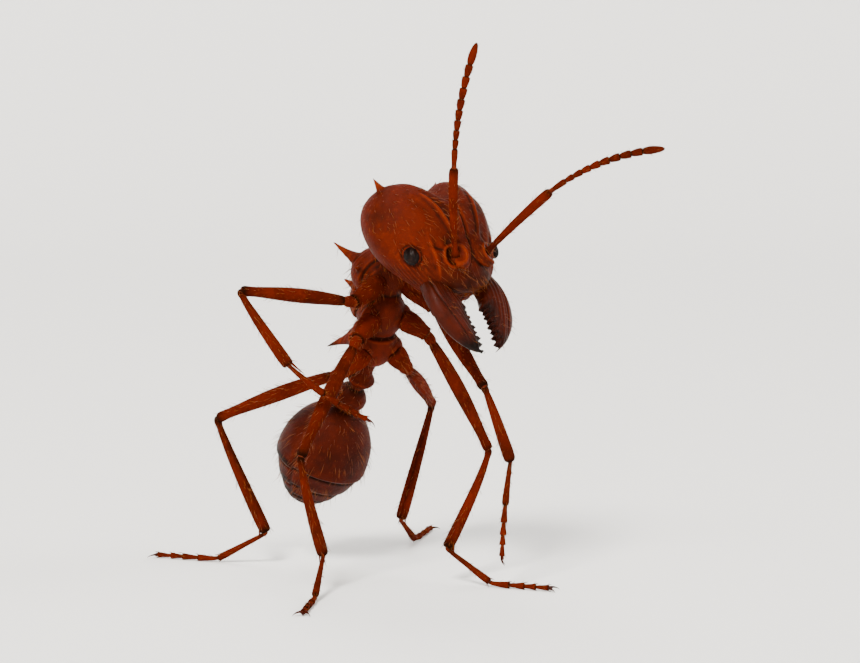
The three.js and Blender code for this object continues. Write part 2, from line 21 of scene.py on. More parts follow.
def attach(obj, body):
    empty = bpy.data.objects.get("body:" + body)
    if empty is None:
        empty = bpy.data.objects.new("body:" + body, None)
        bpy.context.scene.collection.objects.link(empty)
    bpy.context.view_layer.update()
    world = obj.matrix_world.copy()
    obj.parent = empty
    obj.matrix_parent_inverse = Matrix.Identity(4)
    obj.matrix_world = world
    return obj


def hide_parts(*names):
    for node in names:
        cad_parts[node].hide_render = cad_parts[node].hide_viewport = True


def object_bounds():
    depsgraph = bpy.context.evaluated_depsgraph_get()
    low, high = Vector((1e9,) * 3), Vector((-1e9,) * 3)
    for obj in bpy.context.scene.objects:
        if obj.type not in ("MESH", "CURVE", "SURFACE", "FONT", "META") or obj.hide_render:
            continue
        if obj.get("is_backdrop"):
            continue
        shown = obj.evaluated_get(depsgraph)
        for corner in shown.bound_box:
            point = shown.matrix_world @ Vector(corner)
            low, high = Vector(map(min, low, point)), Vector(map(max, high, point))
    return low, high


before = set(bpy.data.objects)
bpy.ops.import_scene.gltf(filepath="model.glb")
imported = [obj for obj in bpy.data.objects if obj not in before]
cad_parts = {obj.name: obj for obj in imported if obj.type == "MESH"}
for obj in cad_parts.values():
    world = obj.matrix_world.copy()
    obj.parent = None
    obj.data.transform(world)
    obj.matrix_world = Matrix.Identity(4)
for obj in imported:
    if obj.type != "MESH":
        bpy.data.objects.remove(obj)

MM = 0.001
UNWRAP = "OFBake"
BODY = "root"
SIDES = {"right": -1, "left": 1}
BODY_VOXEL = 0.04
FINE_VOXEL = 0.028
TOOTH_VOXEL = 0.024
SOCKET_RIM = 0.3  # of the bar's radius
SOCKET_TAPER = 0.8

Profile = Sequence[tuple[float, float]]
Triple = tuple[float, float, float]
Row = tuple[float, ...]
Colour = tuple[float, float, float, float]
Points = np.ndarray

log = logging.getLogger("ant")


class Slot(Enum):
    """The material slots."""

    CUTICLE = "cuticle"
    GASTER = "gaster_cuticle"
    LIMB = "limb_cuticle"
    MANDIBLE = "mandible"
    EYE = "eye"
    MEMBRANE = "membrane"
    BRISTLE = "bristle"


# ------------ numbers


def lerp(low: float | Points, high: float | Points, share: float | Points) -> float | Points:
    """The value a share of the way from low to high."""
    return low + (high - low) * share


def smoothstep(value: float | Points, low: float, high: float) -> float | Points:
    """0 below low, 1 above high and a soft rise between."""
    share = np.clip((value - low) / (high - low), 0.0, 1.0)
    return share * share * (3 - 2 * share)


def hill(value: float | Points, centre: float | Points, width: float) -> float | Points:
    """A soft hill of height 1 round a centre."""
    return np.exp(-(((value - centre) / width) ** 2))


def window(value: float | Points, low: float, high: float, soft: float = 0.15) -> float | Points:
    """1 between low and high, with soft ends."""
    risen = smoothstep(value, low - soft, low + soft)
    return risen * (1 - smoothstep(value, high - soft, high + soft))


def unit(rows: Points) -> Points:
    """Rows of three numbers, each brought to length 1."""
    return rows / np.maximum(1e-6, np.linalg.norm(rows, axis=1))[:, None]


def squared(direction: Vector, way: Vector) -> Vector:
    """A direction turned square to a unit way, at length 1."""
    return (direction - way * direction.dot(way)).normalized()


def linear(red: int, green: int, blue: int) -> Colour:
    """A screen colour of 0 to 255 as the linear colour that shaders read."""
    screen = [part / 255 for part in (red, green, blue)]
    parts = [part / 12.92 if part <= 0.04045 else ((part + 0.055) / 1.055) ** 2.4 for part in screen]
    return (*parts, 1.0)


# ------------ workbench


def deselect() -> None:
    """Leaves nothing selected, in object mode."""
    if bpy.context.mode != "OBJECT":
        bpy.ops.object.mode_set(mode="OBJECT")
    bpy.ops.object.select_all(action="DESELECT")


def pick(*chosen: Object) -> None:
    """Selects just these objects and makes the first one active."""
    deselect()
    for obj in chosen:
        obj.select_set(True)
    bpy.context.view_layer.objects.active = chosen[0]


@contextmanager
def editing(obj: Object) -> Iterator[None]:
    """Opens a mesh in edit mode with all of it selected, and leaves edit mode afterwards."""
    pick(obj)
    bpy.ops.object.mode_set(mode="EDIT")
    bpy.ops.mesh.select_all(action="SELECT")
    yield
    bpy.ops.object.mode_set(mode="OBJECT")


def settled(name: str) -> Object:
    """Names the object that was just added and settles its place into its mesh.

    Args:
        name: Its name.

    Returns:
        The object, at the origin.
    """
    obj = bpy.context.active_object
    obj.name = obj.data.name = name
    bpy.ops.object.transform_apply(location=True, rotation=True, scale=True)
    return obj


def shaped(obj: Object, kind: str, **settings: object) -> Object:
    """Puts a modifier on an object and applies it.

    Args:
        obj: The mesh object.
        kind: The modifier's type.
        settings: Its settings.

    Returns:
        The same object.
    """
    step = obj.modifiers.new(kind.title(), kind)
    for key, value in settings.items():
        setattr(step, key, value)
    pick(obj)
    bpy.ops.object.modifier_apply(modifier=step.name)
    return obj


def fused(obj: Object, voxel: float, smoothing: int = 0) -> Object:
    """Grows the forms of a mesh together into one skin.

    Args:
        obj: The mesh object, whose forms run into one another.
        voxel: The size of the skin's faces.
        smoothing: How often the skin is smoothed.

    Returns:
        The same object.
    """
    shaped(obj, "REMESH", mode="VOXEL", voxel_size=voxel)
    if smoothing:
        shaped(obj, "SMOOTH", factor=0.5, iterations=smoothing)
    return obj


def joined(name: str, parts: Sequence[Object]) -> Object:
    """Several mesh objects as one, under a new name."""
    pick(*parts)
    if len(parts) > 1:
        bpy.ops.object.join()
    parts[0].name = parts[0].data.name = name
    return parts[0]


def copied(template: Object, name: str) -> Object:
    """A copy of an object with a mesh of its own."""
    obj = template.copy()
    obj.data = template.data.copy()
    obj.name = obj.data.name = name
    bpy.context.scene.collection.objects.link(obj)
    return obj


def rows_of(items: bpy_prop_collection, name: str, width: int, kind: type = np.float32) -> Points:
    """A property of a mesh's elements, one element a row.

    Args:
        items: The elements.
        name: The property's name.
        width: How many numbers it has.
        kind: Their type.

    Returns:
        The rows.
    """
    flat = np.empty(len(items) * width, kind)
    items.foreach_get(name, flat)
    return flat.reshape(-1, width)


def points_of(obj: Object) -> Points:
    """The places of a mesh's vertices, one a row."""
    return rows_of(obj.data.vertices, "co", 3).astype(float)


def normals_of(obj: Object) -> Points:
    """The normals of a mesh's vertices, one a row."""
    return rows_of(obj.data.vertex_normals, "vector", 3).astype(float)


def move_points(obj: Object, points: Points) -> None:
    """Moves every vertex of a mesh to its new place."""
    obj.data.vertices.foreach_set("co", points.astype(np.float32).ravel())
    obj.data.update()


def renumber(obj: Object) -> Object:
    """Numbers a mesh's faces and edges by their vertices, and drops its first flat map.

    Operators number new faces by their place in memory, which changes from run to run. The hairs are
    drawn by the numbers of the faces, so they would change too.

    Args:
        obj: The mesh object.

    Returns:
        The same object.
    """
    mesh, faces = obj.data, []
    while mesh.uv_layers:
        mesh.uv_layers.remove(mesh.uv_layers[0])
    for face in mesh.polygons:
        corners = list(face.vertices)
        first = corners.index(min(corners))
        faces.append(corners[first:] + corners[:first])
    faces.sort()
    edges = sorted(mesh.edge_keys)
    number = {edge: place for place, edge in enumerate(edges)}
    starts = [corner for face in faces for corner in face]
    ends = [corner for face in faces for corner in face[1:] + face[:1]]
    sides = [number[min(pair), max(pair)] for pair in zip(starts, ends)]
    mesh.edges.foreach_set("vertices", [corner for edge in edges for corner in edge])
    mesh.loops.foreach_set("vertex_index", starts)
    mesh.loops.foreach_set("edge_index", sides)
    mesh.polygons.foreach_set("loop_start", np.cumsum([0, *map(len, faces[:-1])]))
    mesh.update()
    return obj


def emboss(obj: Object, height: Callable[[Points, Points], Points]) -> None:
    """Raises or sinks a surface along its normals.

    Args:
        obj: The mesh object.
        height: The height in millimetres, from the vertices and their normals.
    """
    points, normals = points_of(obj), normals_of(obj)
    move_points(obj, points + normals * height(points, normals)[:, None])


def mark(obj: Object, name: str, values: Points) -> None:
    """Stores a number for each vertex, for the finishes to read."""
    found = obj.data.attributes.get(name) or obj.data.attributes.new(name, "FLOAT", "POINT")
    found.data.foreach_set("value", np.clip(values, 0.0, 1.0).astype(np.float32))


def mark_hollows(obj: Object, rounds: int = 8, depth: float = 0.02) -> None:
    """Stores how hollow the surface is at each vertex: 1 in grooves, 0 on ridges, 0.5 on the flat.

    Args:
        obj: The mesh object.
        rounds: How many neighbours out the surface is compared with.
        depth: The depth in millimetres that counts as fully hollow.
    """
    points, normals = points_of(obj), normals_of(obj)
    first, second = rows_of(obj.data.edges, "vertices", 2, np.int32).T
    count = len(points)
    neighbours = np.bincount(first, minlength=count) + np.bincount(second, minlength=count)
    soft = points
    for _ in range(rounds):
        total = np.empty_like(soft)
        for axis in range(3):
            total[:, axis] = np.bincount(first, soft[second, axis], count)
            total[:, axis] += np.bincount(second, soft[first, axis], count)
        soft = total / np.maximum(1, neighbours)[:, None]
    sunk = ((soft - points) * normals).sum(axis=1)
    # the finishes darken the grooves with this mask as painted shade
    mark(obj, "hollow", 0.5 + 0.5 * (sunk - np.median(sunk)) / depth)


def ball(name: str, centre: Triple, radii: Triple) -> Object:
    """A ball pulled to three radii.

    Args:
        name: Its name.
        centre: Its middle.
        radii: Its radii along X, Y and Z.

    Returns:
        The mesh object.
    """
    deselect()
    bpy.ops.mesh.primitive_uv_sphere_add(segments=40, ring_count=24, location=centre, scale=radii)
    return renumber(settled(name))


def raise_face(rise: float, ratio: float, height: float) -> None:
    """Extrudes the selected face along Z.

    Args:
        rise: How far it moves.
        ratio: How much wider it gets.
        height: Where it comes to lie.
    """
    bpy.ops.mesh.extrude_region_move(TRANSFORM_OT_translate={"value": (0, 0, rise)})
    bpy.ops.transform.resize(value=(ratio, ratio, 1), center_override=(0, 0, height))


def turned(name: str, profile: Profile, sides: int = 12, socket: float = 0.0) -> Object:
    """A closed bar along +Z, raised ring by ring from a circle and then smoothed.

    Args:
        name: Its name.
        profile: The height and radius of each ring, from the start up.
        sides: The sides of the first circle.
        socket: The depth of a socket sunk into the far end, if any.

    Returns:
        The mesh object.
    """
    deselect()
    (height, radius), *rest = profile
    bpy.ops.mesh.primitive_circle_add(vertices=sides, radius=radius, location=(0, 0, height))
    bar = settled(name)
    with editing(bar):
        bpy.ops.mesh.edge_face_add()
        for next_height, next_radius in rest:
            raise_face(next_height - height, next_radius / radius, next_height)
            height, radius = next_height, next_radius
        if socket:
            bpy.ops.mesh.inset(thickness=radius * SOCKET_RIM)
            raise_face(-socket, SOCKET_TAPER, height - socket)
        bpy.ops.mesh.select_all(action="SELECT")
        bpy.ops.mesh.normals_make_consistent(inside=False)
    return shaped(renumber(bar), "SUBSURF", levels=2, render_levels=2)


class Path:
    """A smooth line that is read by the share of its length."""

    bow_steps: ClassVar[int] = 40
    knot_steps: ClassVar[int] = 16
    reach: ClassVar[float] = 0.02

    def __init__(self, samples: Points) -> None:
        """Takes close points along the line."""
        self.samples = samples
        steps = np.linalg.norm(np.diff(samples, axis=0), axis=1)
        self.length = float(steps.sum())
        self.shares = np.concatenate([[0.0], np.cumsum(steps)]) / self.length

    @classmethod
    def straight(cls, start: Vector, end: Vector) -> "Path":
        """A straight line between two points."""
        return cls(np.array([start, end], float))

    @classmethod
    def bowed(cls, start: Vector, middle: Vector, end: Vector) -> "Path":
        """A curve from start to end that leans towards middle."""
        share = np.linspace(0, 1, cls.bow_steps)[:, None]
        start, middle, end = (np.array(point) for point in (start, middle, end))
        return cls((1 - share) ** 2 * start + 2 * share * (1 - share) * middle + share**2 * end)

    @classmethod
    def through(cls, knots: Sequence[Vector]) -> "Path":
        """A smooth curve through points.

        Args:
            knots: The points, in order.

        Returns:
            The path.
        """
        known = [np.array(knot) for knot in knots]
        known = [2 * known[0] - known[1], *known, 2 * known[-1] - known[-2]]
        share = np.linspace(0, 1, cls.knot_steps)[:, None]
        spans = []
        for before, start, end, after in zip(known, known[1:], known[2:], known[3:]):
            bend = 2 * before - 5 * start + 4 * end - after
            twist = 3 * start - before - 3 * end + after
            way = end - before
            spans.append(0.5 * (2 * start + way * share + bend * share**2 + twist * share**3))
        return cls(np.vstack([spans[0], *(span[1:] for span in spans[1:])]))

    def within(self, share: Points) -> Points:
        """The points at shares of the length from 0 to 1."""
        axes = [np.interp(share, self.shares, self.samples[:, axis]) for axis in range(3)]
        return np.stack(axes, axis=1)

    def at(self, share: float | Points) -> Points:
        """The points at shares of the length, which may lie past either end."""
        share = np.atleast_1d(share)
        inside = np.clip(share, 0, 1)
        return self.within(inside) + self.heading(inside) * ((share - inside) * self.length)[:, None]

    def heading(self, share: float | Points) -> Points:
        """The unit tangents at shares of the length."""
        share = np.atleast_1d(share)
        ahead, back = np.clip(share + self.reach, 0, 1), np.clip(share - self.reach, 0, 1)
        return unit(self.within(ahead) - self.within(back))

    def point(self, share: float) -> Vector:
        """One point of the line."""
        return Vector(self.at(share)[0])

    def way(self, share: float) -> Vector:
        """The direction of the line at one point."""
        return Vector(self.heading(share)[0])


def lay_along(
    bar: Object,
    path: Path,
    radius: float,
    span: tuple[float, float] = (0.0, 1.0),
    up: Sequence[float] = (0.1, 0.2, 1.0),
) -> Object:
    """Bends a bar of unit length and radius along part of a path.

    Args:
        bar: The bar, along +Z.
        path: The line that its middle follows.
        radius: What its unit radius becomes.
        span: The shares of the path where the bar starts and ends.
        up: The direction that the bar's X side turns to.

    Returns:
        The same object.
    """
    local = points_of(bar)
    share = lerp(span[0], span[1], local[:, 2])
    heading = path.heading(share)
    reference = np.array(up, float)
    across = unit(reference - heading * (heading @ reference)[:, None])
    beside = np.cross(heading, across)
    laid = path.at(share) + (across * local[:, :1] + beside * local[:, 1:2]) * radius
    move_points(bar, laid)
    return bar


# ------------ node sheets


class NodeSheet:
    """A node tree that is filled by short calls."""

    def __init__(self, tree: NodeTree) -> None:
        """Takes the tree to fill."""
        self.tree = tree

    def add(self, kind: str, inputs: dict[str | int, object], **settings: object) -> Node:
        """Adds a node.

        Args:
            kind: The node's type, without its common first word.
            inputs: A value or an output socket for each of its inputs.
            settings: The node's own settings.

        Returns:
            The node.
        """
        node = self.tree.nodes.new("ShaderNode" + kind)
        for key, value in settings.items():
            setattr(node, key, value)
        self.fill(node, inputs)
        return node

    def fill(self, node: Node, inputs: dict[str | int, object]) -> None:
        """Feeds several inputs of a node."""
        for key, value in inputs.items():
            self.feed(node.inputs[key], value)

    def feed(self, socket: NodeSocket, value: object) -> None:
        """Links an output socket to an input, or sets the input to a value."""
        if isinstance(value, NodeSocket):
            self.tree.links.new(value, socket)
        else:
            socket.default_value = value

    def maths(self, operation: str, first: object, second: object, clamp: bool = False) -> NodeSocket:
        """The result of a sum on two numbers."""
        node = self.add("Math", {0: first, 1: second}, operation=operation, use_clamp=clamp)
        return node.outputs[0]

    def scaled(self, value: object, factor: object) -> NodeSocket:
        """A number times a factor."""
        return self.maths("MULTIPLY", value, factor)

    def stored(self, name: str) -> NodeSocket:
        """The number that a mesh stores under a name."""
        return self.add("Attribute", {}, attribute_name=name).outputs["Fac"]

    def noise(self, vector: NodeSocket, scale: object, detail: float) -> NodeSocket:
        """Soft noise with a number of steps a millimetre."""
        return self.add("TexNoise", {"Vector": vector, "Scale": scale, "Detail": detail}).outputs[0]

    def bump(self, height: object, depth: float, strength: float) -> NodeSocket:
        """The normal over a height whose full depth is in millimetres."""
        inputs = {"Height": height, "Distance": depth * MM, "Strength": strength}
        return self.add("Bump", inputs).outputs[0]

    def spread(self, value: object, low: float, high: float) -> NodeSocket:
        """A value stretched so that low becomes 0 and high 1, with soft ends."""
        inputs = {"Value": value, "From Min": low, "From Max": high}
        return self.add("MapRange", inputs, interpolation_type="SMOOTHSTEP").outputs[0]

    def between(self, value: object, low: float, high: float) -> NodeSocket:
        """A number that is low where the value is 0 and high where it is 1."""
        return self.add("MapRange", {"Value": value, "To Min": low, "To Max": high}).outputs[0]

    def blend(self, share: object, first: object, second: object) -> NodeSocket:
        """A colour a share of the way from the first to the second."""
        mix = self.add("Mix", {0: share}, data_type="RGBA")
        self.feed(mix.inputs[6], first)
        self.feed(mix.inputs[7], second)
        return mix.outputs[2]


Sockets = dict[str, NodeSocket]


def group_sheet(
    name: str, inputs: dict[str, str], outputs: dict[str, str]
) -> tuple[NodeSheet, Sockets, Sockets]:
    """Starts a shader node group.

    Args:
        name: The group's name.
        inputs: The kind of each input socket.
        outputs: The kind of each output socket.

    Returns:
        The sheet to fill, its input sockets by name, and the group's output sockets by name.
    """
    tree = bpy.data.node_groups.new(name, "ShaderNodeTree")
    for names, direction in ((inputs, "INPUT"), (outputs, "OUTPUT")):
        for key, kind in names.items():
            tree.interface.new_socket(key, in_out=direction, socket_type="NodeSocket" + kind)
    sheet = NodeSheet(tree)
    start, end = tree.nodes.new("NodeGroupInput"), tree.nodes.new("NodeGroupOutput")
    given = {key: start.outputs[key] for key in inputs}
    return sheet, given, {key: end.inputs[key] for key in outputs}


def shared_group(name: str, make: Callable[[str], NodeTree]) -> NodeTree:
    """A node group that is made the first time it is asked for."""
    return bpy.data.node_groups.get(name) or make(name)


def make_grain(name: str) -> NodeTree:
    """The fine netted grain of cuticle: small cells with sunk joints, and a soft unevenness."""
    sheet, given, wanted = group_sheet(
        name, {"Vector": "Vector", "Cells": "Float"}, {"Height": "Float", "Net": "Float"}
    )
    edges = sheet.add(
        "TexVoronoi",
        {"Vector": given["Vector"], "Scale": given["Cells"], "Randomness": 0.9},
        feature="DISTANCE_TO_EDGE",
    ).outputs[0]
    net = sheet.spread(edges, 0.0, 0.2)
    swell = sheet.noise(given["Vector"], 1.8, 3.0)
    fine = sheet.noise(given["Vector"], sheet.scaled(given["Cells"], 3.0), 2.0)
    height = sheet.maths("ADD", sheet.scaled(net, 0.45), sheet.scaled(swell, 4.0))
    sheet.feed(wanted["Height"], sheet.maths("ADD", height, sheet.scaled(fine, 0.35)))
    sheet.feed(wanted["Net"], net)
    return sheet.tree


def make_tone(name: str) -> NodeTree:
    """The colour of cuticle: mottled, darker at joints, paler where it is rubbed, with painted shade in
    grooves and in the sunk net of the grain.
    """
    sheet, given, wanted = group_sheet(
        name,
        {"Vector": "Vector", "Base": "Color", "Dark": "Color", "Pale": "Color", "Joint": "Float",
         "Hollow": "Float", "Net": "Float"},
        {"Color": "Color", "Wear": "Float"},
    )
    clouds = sheet.spread(sheet.noise(given["Vector"], 0.55, 4.0), 0.38, 0.7)
    patches = sheet.spread(sheet.noise(given["Vector"], 2.0, 3.0), 0.46, 0.7)
    flecks = sheet.spread(sheet.noise(given["Vector"], 5.0, 3.0), 0.5, 0.75)
    # painted shade: the sunk borders of the grain's cells are darkened
    painted_net_shade = sheet.maths("SUBTRACT", 1.0, given["Net"])
    # painted shade: the grooves and hollows of the mesh are darkened towards the Dark colour
    grooves = sheet.spread(given["Hollow"], 0.52, 0.95)
    rubbed = sheet.scaled(sheet.spread(given["Hollow"], 0.46, 0.1), 0.5)
    mottled = given["Base"]
    for share, colour in (
        (sheet.scaled(clouds, 0.5), "Dark"),
        (sheet.scaled(patches, 0.38), "Dark"),
        (sheet.scaled(flecks, 0.22), "Pale"),
        # painted shade in the sunk net of the grain
        (sheet.scaled(painted_net_shade, 0.2), "Dark"),
        # painted shade in the grooves
        (sheet.scaled(grooves, 0.85), "Dark"),
        (rubbed, "Pale"),
        (sheet.maths("MULTIPLY", given["Joint"], sheet.maths("ADD", clouds, 0.75), clamp=True), "Dark"),
    ):
        mottled = sheet.blend(share, mottled, given[colour])
    sheet.feed(wanted["Color"], mottled)
    sheet.feed(wanted["Wear"], sheet.maths("ADD", sheet.scaled(clouds, 0.6), rubbed, clamp=True))
    return sheet.tree


# ------------ finishes


@dataclass(frozen=True)
class Finish:
    """A named finish, whose material is mixed once."""

    name: str
    slot: Slot
    base: Colour

    def material(self) -> Material:
        """The material of this finish, which is mixed the first time it is asked for."""
        if self.name not in bpy.data.materials:
            material = bpy.data.materials.new(self.name)
            material.use_nodes = True
            self.mix(NodeSheet(material.node_tree), material.node_tree.nodes["Principled BSDF"])
        return bpy.data.materials[self.name]

    def mix(self, sheet: NodeSheet, shader: Node) -> None:
        """Mixes the material.

        Args:
            sheet: Its node sheet.
            shader: Its shader.
        """
        raise NotImplementedError

    @staticmethod
    def place(sheet: NodeSheet) -> NodeSocket:
        """The place on the piece in millimetres."""
        place = sheet.add("TexCoord", {}).outputs["Object"]
        return sheet.add("Mapping", {"Vector": place, "Scale": (1 / MM,) * 3}).outputs[0]


@dataclass(frozen=True)
class Cuticle(Finish):
    """Satin insect cuticle with a fine netted grain."""

    dark: Colour
    pale: Colour
    cells: float = 17.0
    relief: float = 0.011
    gloss: tuple[float, float] = (0.38, 0.58)
    shine: float = 0.032

    def mix(self, sheet: NodeSheet, shader: Node) -> None:
        """Mixes the material from the shared grain and tone."""
        place = self.place(sheet)
        grain = sheet.add(
            "Group",
            {"Vector": place, "Cells": self.cells},
            node_tree=shared_group("cuticle_grain", make_grain),
        ).outputs
        tone = sheet.add(
            "Group",
            {"Vector": place, "Base": self.base, "Dark": self.dark, "Pale": self.pale,
             "Net": grain["Net"], "Joint": sheet.stored("joint"), "Hollow": sheet.stored("hollow")},
            node_tree=shared_group("cuticle_tone", make_tone),
        ).outputs
        sheet.fill(shader, {
            "Base Color": tone["Color"],
            "Roughness": sheet.between(tone["Wear"], self.gloss[1], self.gloss[0]),
            "Normal": sheet.bump(grain["Height"], self.relief, 0.8),
            "Specular IOR Level": self.shine,
        })


@dataclass(frozen=True)
class EyeGloss(Finish):
    """The glossy black of a compound eye, with a faint brown depth between its facets."""

    depth: Colour

    def mix(self, sheet: NodeSheet, shader: Node) -> None:
        """Mixes the material."""
        clouds = sheet.spread(sheet.noise(self.place(sheet), 3.0, 2.0), 0.35, 0.7)
        between_facets = sheet.spread(sheet.stored("hollow"), 0.5, 0.9)
        seams = sheet.scaled(between_facets, sheet.maths("ADD", clouds, 0.3))
        sheet.fill(shader, {
            "Base Color": sheet.blend(seams, self.base, self.depth),
            "Roughness": sheet.between(clouds, 0.1, 0.16),
            "Specular IOR Level": 0.06,
        })


@dataclass(frozen=True)
class Membrane(Finish):
    """Soft folded skin between the plates, with painted shade in its folds and grooves."""

    dark: Colour

    def mix(self, sheet: NodeSheet, shader: Node) -> None:
        """Mixes the material."""
        folds = sheet.noise(self.place(sheet), 9.0, 3.0)
        grooves = sheet.spread(sheet.stored("hollow"), 0.5, 0.8)
        # painted shade: darker in the grooves of the mesh and where the folds of the bump sink
        share = sheet.maths("SUBTRACT", sheet.spread(folds, 0.1, 0.7), grooves, clamp=True)
        sheet.fill(shader, {
            "Base Color": sheet.blend(share, self.dark, self.base),
            "Roughness": sheet.between(folds, 0.45, 0.7),
            "Normal": sheet.bump(folds, 0.02, 0.7),
            "Specular IOR Level": 0.05,
        })


@dataclass(frozen=True)
class Hair(Finish):
    """Golden brown bristle, darker at the root and paler at the tip."""

    tip: Colour

    def mix(self, sheet: NodeSheet, shader: Node) -> None:
        """Mixes the material."""
        uneven = sheet.spread(sheet.noise(self.place(sheet), 2.0, 2.0), 0.3, 0.7)
        reach = sheet.maths("ADD", uneven, 0.4)
        share = sheet.maths("MULTIPLY", sheet.stored("along"), reach, clamp=True)
        sheet.fill(shader, {
            "Base Color": sheet.blend(share, self.base, self.tip),
            "Roughness": sheet.between(uneven, 0.35, 0.5),
            "Specular IOR Level": 0.2,
        })


@dataclass(frozen=True)
class Paper(Finish):
    """The plain pale floor."""

    def mix(self, sheet: NodeSheet, shader: Node) -> None:
        """Mixes the material."""
        sheet.fill(shader, {"Base Color": self.base, "Roughness": 0.75})


# each finish's dark colour tints mottling and dark joints, and is also the painted shade in grooves, in
# the grain's sunk net and in the skin's folds
RUST, RUST_DARK, RUST_PALE = linear(76, 16, 1), linear(25, 6, 1), linear(110, 33, 2)
BODY_CUTICLE = Cuticle("rust_body", Slot.CUTICLE, RUST, RUST_DARK, RUST_PALE)
LIMB_CUTICLE = Cuticle(
    "rust_limb", Slot.LIMB, linear(80, 17, 1), RUST_DARK, RUST_PALE,
    cells=21.0, gloss=(0.56, 0.76), shine=0.01,
)
GASTER_CUTICLE = Cuticle(
    "mahogany_gaster", Slot.GASTER, linear(58, 11, 1), linear(19, 4, 1), linear(86, 24, 2),
    gloss=(0.34, 0.5), shine=0.036,
)
MANDIBLE_GLOSS = Cuticle(
    "dark_jaw", Slot.MANDIBLE, linear(54, 11, 1), linear(12, 3, 1), linear(84, 22, 2),
    cells=24.0, relief=0.006, gloss=(0.22, 0.36), shine=0.05,
)
EYE_GLOSS = EyeGloss("black_eye", Slot.EYE, linear(6, 4, 4), linear(26, 10, 5))
JOINT_SKIN = Membrane("joint_skin", Slot.MEMBRANE, linear(84, 24, 4), linear(36, 10, 2))
GOLDEN_HAIR = Hair("golden_hair", Slot.BRISTLE, linear(56, 19, 3), linear(142, 76, 22))
FLOOR_PAPER = Paper("floor_paper", Slot.CUTICLE, (0.93, 0.925, 0.91, 1.0))


# ------------ the posture

MIDDLE = Vector((0.3, -0.2, 0.0))
NECK = Vector((0.0, -0.6, 11.9)) - MIDDLE
TRUNK_PITCH = math.radians(68.0)
HEAD_PITCH, HEAD_YAW = math.radians(-46.0), math.radians(16.0)
NECK_ON_HEAD = Vector((0.0, 1.35, -1.5))

TRUNK_TURN = Matrix.Rotation(-TRUNK_PITCH, 4, "X")
TRUNK_FRAME = Matrix.Translation(NECK) @ TRUNK_TURN
HEAD_TURN = Matrix.Rotation(HEAD_YAW, 4, "Z") @ Matrix.Rotation(-HEAD_PITCH, 4, "X")
HEAD_FRAME = Matrix.Translation(NECK - HEAD_TURN @ NECK_ON_HEAD) @ HEAD_TURN
HEAD_TO_TRUNK = TRUNK_FRAME.inverted() @ HEAD_FRAME
NECK_BEND = Vector((0.05, -0.6, -0.1))  # in the trunk's frame
NECK_ROOT = Vector((0.0, 0.6, -0.75))  # in the head's frame
NECK_RADIUS = 0.3
KNEE_SLACK = 0.02  # how far a stretched leg stays short of straight


@dataclass(frozen=True)
class Stance:
    """How one leg is held: its ankle, the ways of its pieces, and how its foot stands or hangs."""

    coxa: Triple
    ankle: Triple
    bend: Triple
    toes: float | None = None
    hang: tuple[Triple, ...] = ()


@dataclass(frozen=True)
class LegSizes:
    """The lengths of one pair of legs, and where it leaves the trunk, in the trunk's frame."""

    root: Triple
    coxa: float
    femur: float
    tibia: float
    tarsus: float


LEG_SIZES = {
    "fore": LegSizes((0.42, 1.2, -0.62), 1.5, 4.0, 3.0, 3.3),
    "mid": LegSizes((0.5, 2.55, -0.85), 1.15, 4.6, 3.7, 3.8),
    "hind": LegSizes((0.48, 3.85, -0.75), 1.2, 5.4, 4.5, 4.5),
}
STANCES = {
    "fore_right": Stance((-0.85, -0.3, -0.45), (-4.3, -1.5, 7.9), (-1, 0.45, 0.8),
                         hang=((0.7, -0.18, -0.68), (0.85, -0.2, -0.45))),
    "fore_left": Stance((0.6, -0.45, -0.66), (2.8, -4.0, 4.5), (-0.4, -1, 0.2),
                        hang=((-0.1, 0.1, -1), (-0.1, -0.1, -0.98))),
    "mid_right": Stance((-0.75, -0.35, -0.55), (-2.75, -0.9, 1.25), (-1, -0.3, 0.3), toes=232),
    "mid_left": Stance((0.75, -0.35, -0.55), (1.5, -1.95, 1.25), (1, -0.2, 0.3), toes=312),
    "hind_right": Stance((-0.7, 0.3, -0.65), (-2.5, 4.0, 1.2), (-0.8, 0.8, 0.8), toes=130),
    "hind_left": Stance((0.7, 0.3, -0.65), (2.9, 3.8, 1.2), (0.9, 0.7, 0.8), toes=45),
}


def knee_of(hip: Vector, ankle: Vector, femur: float, tibia: float, bend: Vector) -> Vector:
    """The knee of a leg of two straight pieces.

    Args:
        hip: The start of the femur.
        ankle: The end of the tibia.
        femur: The femur's length.
        tibia: The tibia's length.
        bend: The way that the knee stands out.

    Returns:
        The knee.
    """
    way = ankle - hip
    distance = min(way.length, femur + tibia - KNEE_SLACK)
    way.normalize()
    along = (femur**2 - tibia**2 + distance**2) / (2 * distance)
    out = math.sqrt(max(0.0, femur**2 - along**2))
    return hip + way * along + squared(bend, way) * out


# ------------ bristles


@dataclass(frozen=True)
class Unwrap:
    """A flat map of a piece that is rolled off round its own long axis."""

    start: Vector
    end: Vector
    row: int = 0
    rows: int = 1
    off_axis: ClassVar[Triple] = (0.3, 0.5, 0.8)
    margin: ClassVar[float] = 0.02

    def flat(self, points: Points) -> Points:
        """The place of points on the map.

        Args:
            points: Points on or near the piece.

        Returns:
            Their places, from 0 to 1 each way.
        """
        axis = np.array(self.end - self.start, float)
        length = np.linalg.norm(axis)
        axis /= length
        aside = np.cross(axis, self.off_axis)
        aside /= np.linalg.norm(aside)
        local = points - np.array(self.start)
        angle = np.arctan2(local @ np.cross(axis, aside), local @ aside)
        along = np.clip(local @ axis / length, 0, 1)
        across = angle / (2 * math.pi) * (1 - self.margin) + 0.5
        rise = (self.row + self.margin + (1 - 2 * self.margin) * along) / self.rows
        return np.stack([across, rise], axis=1)


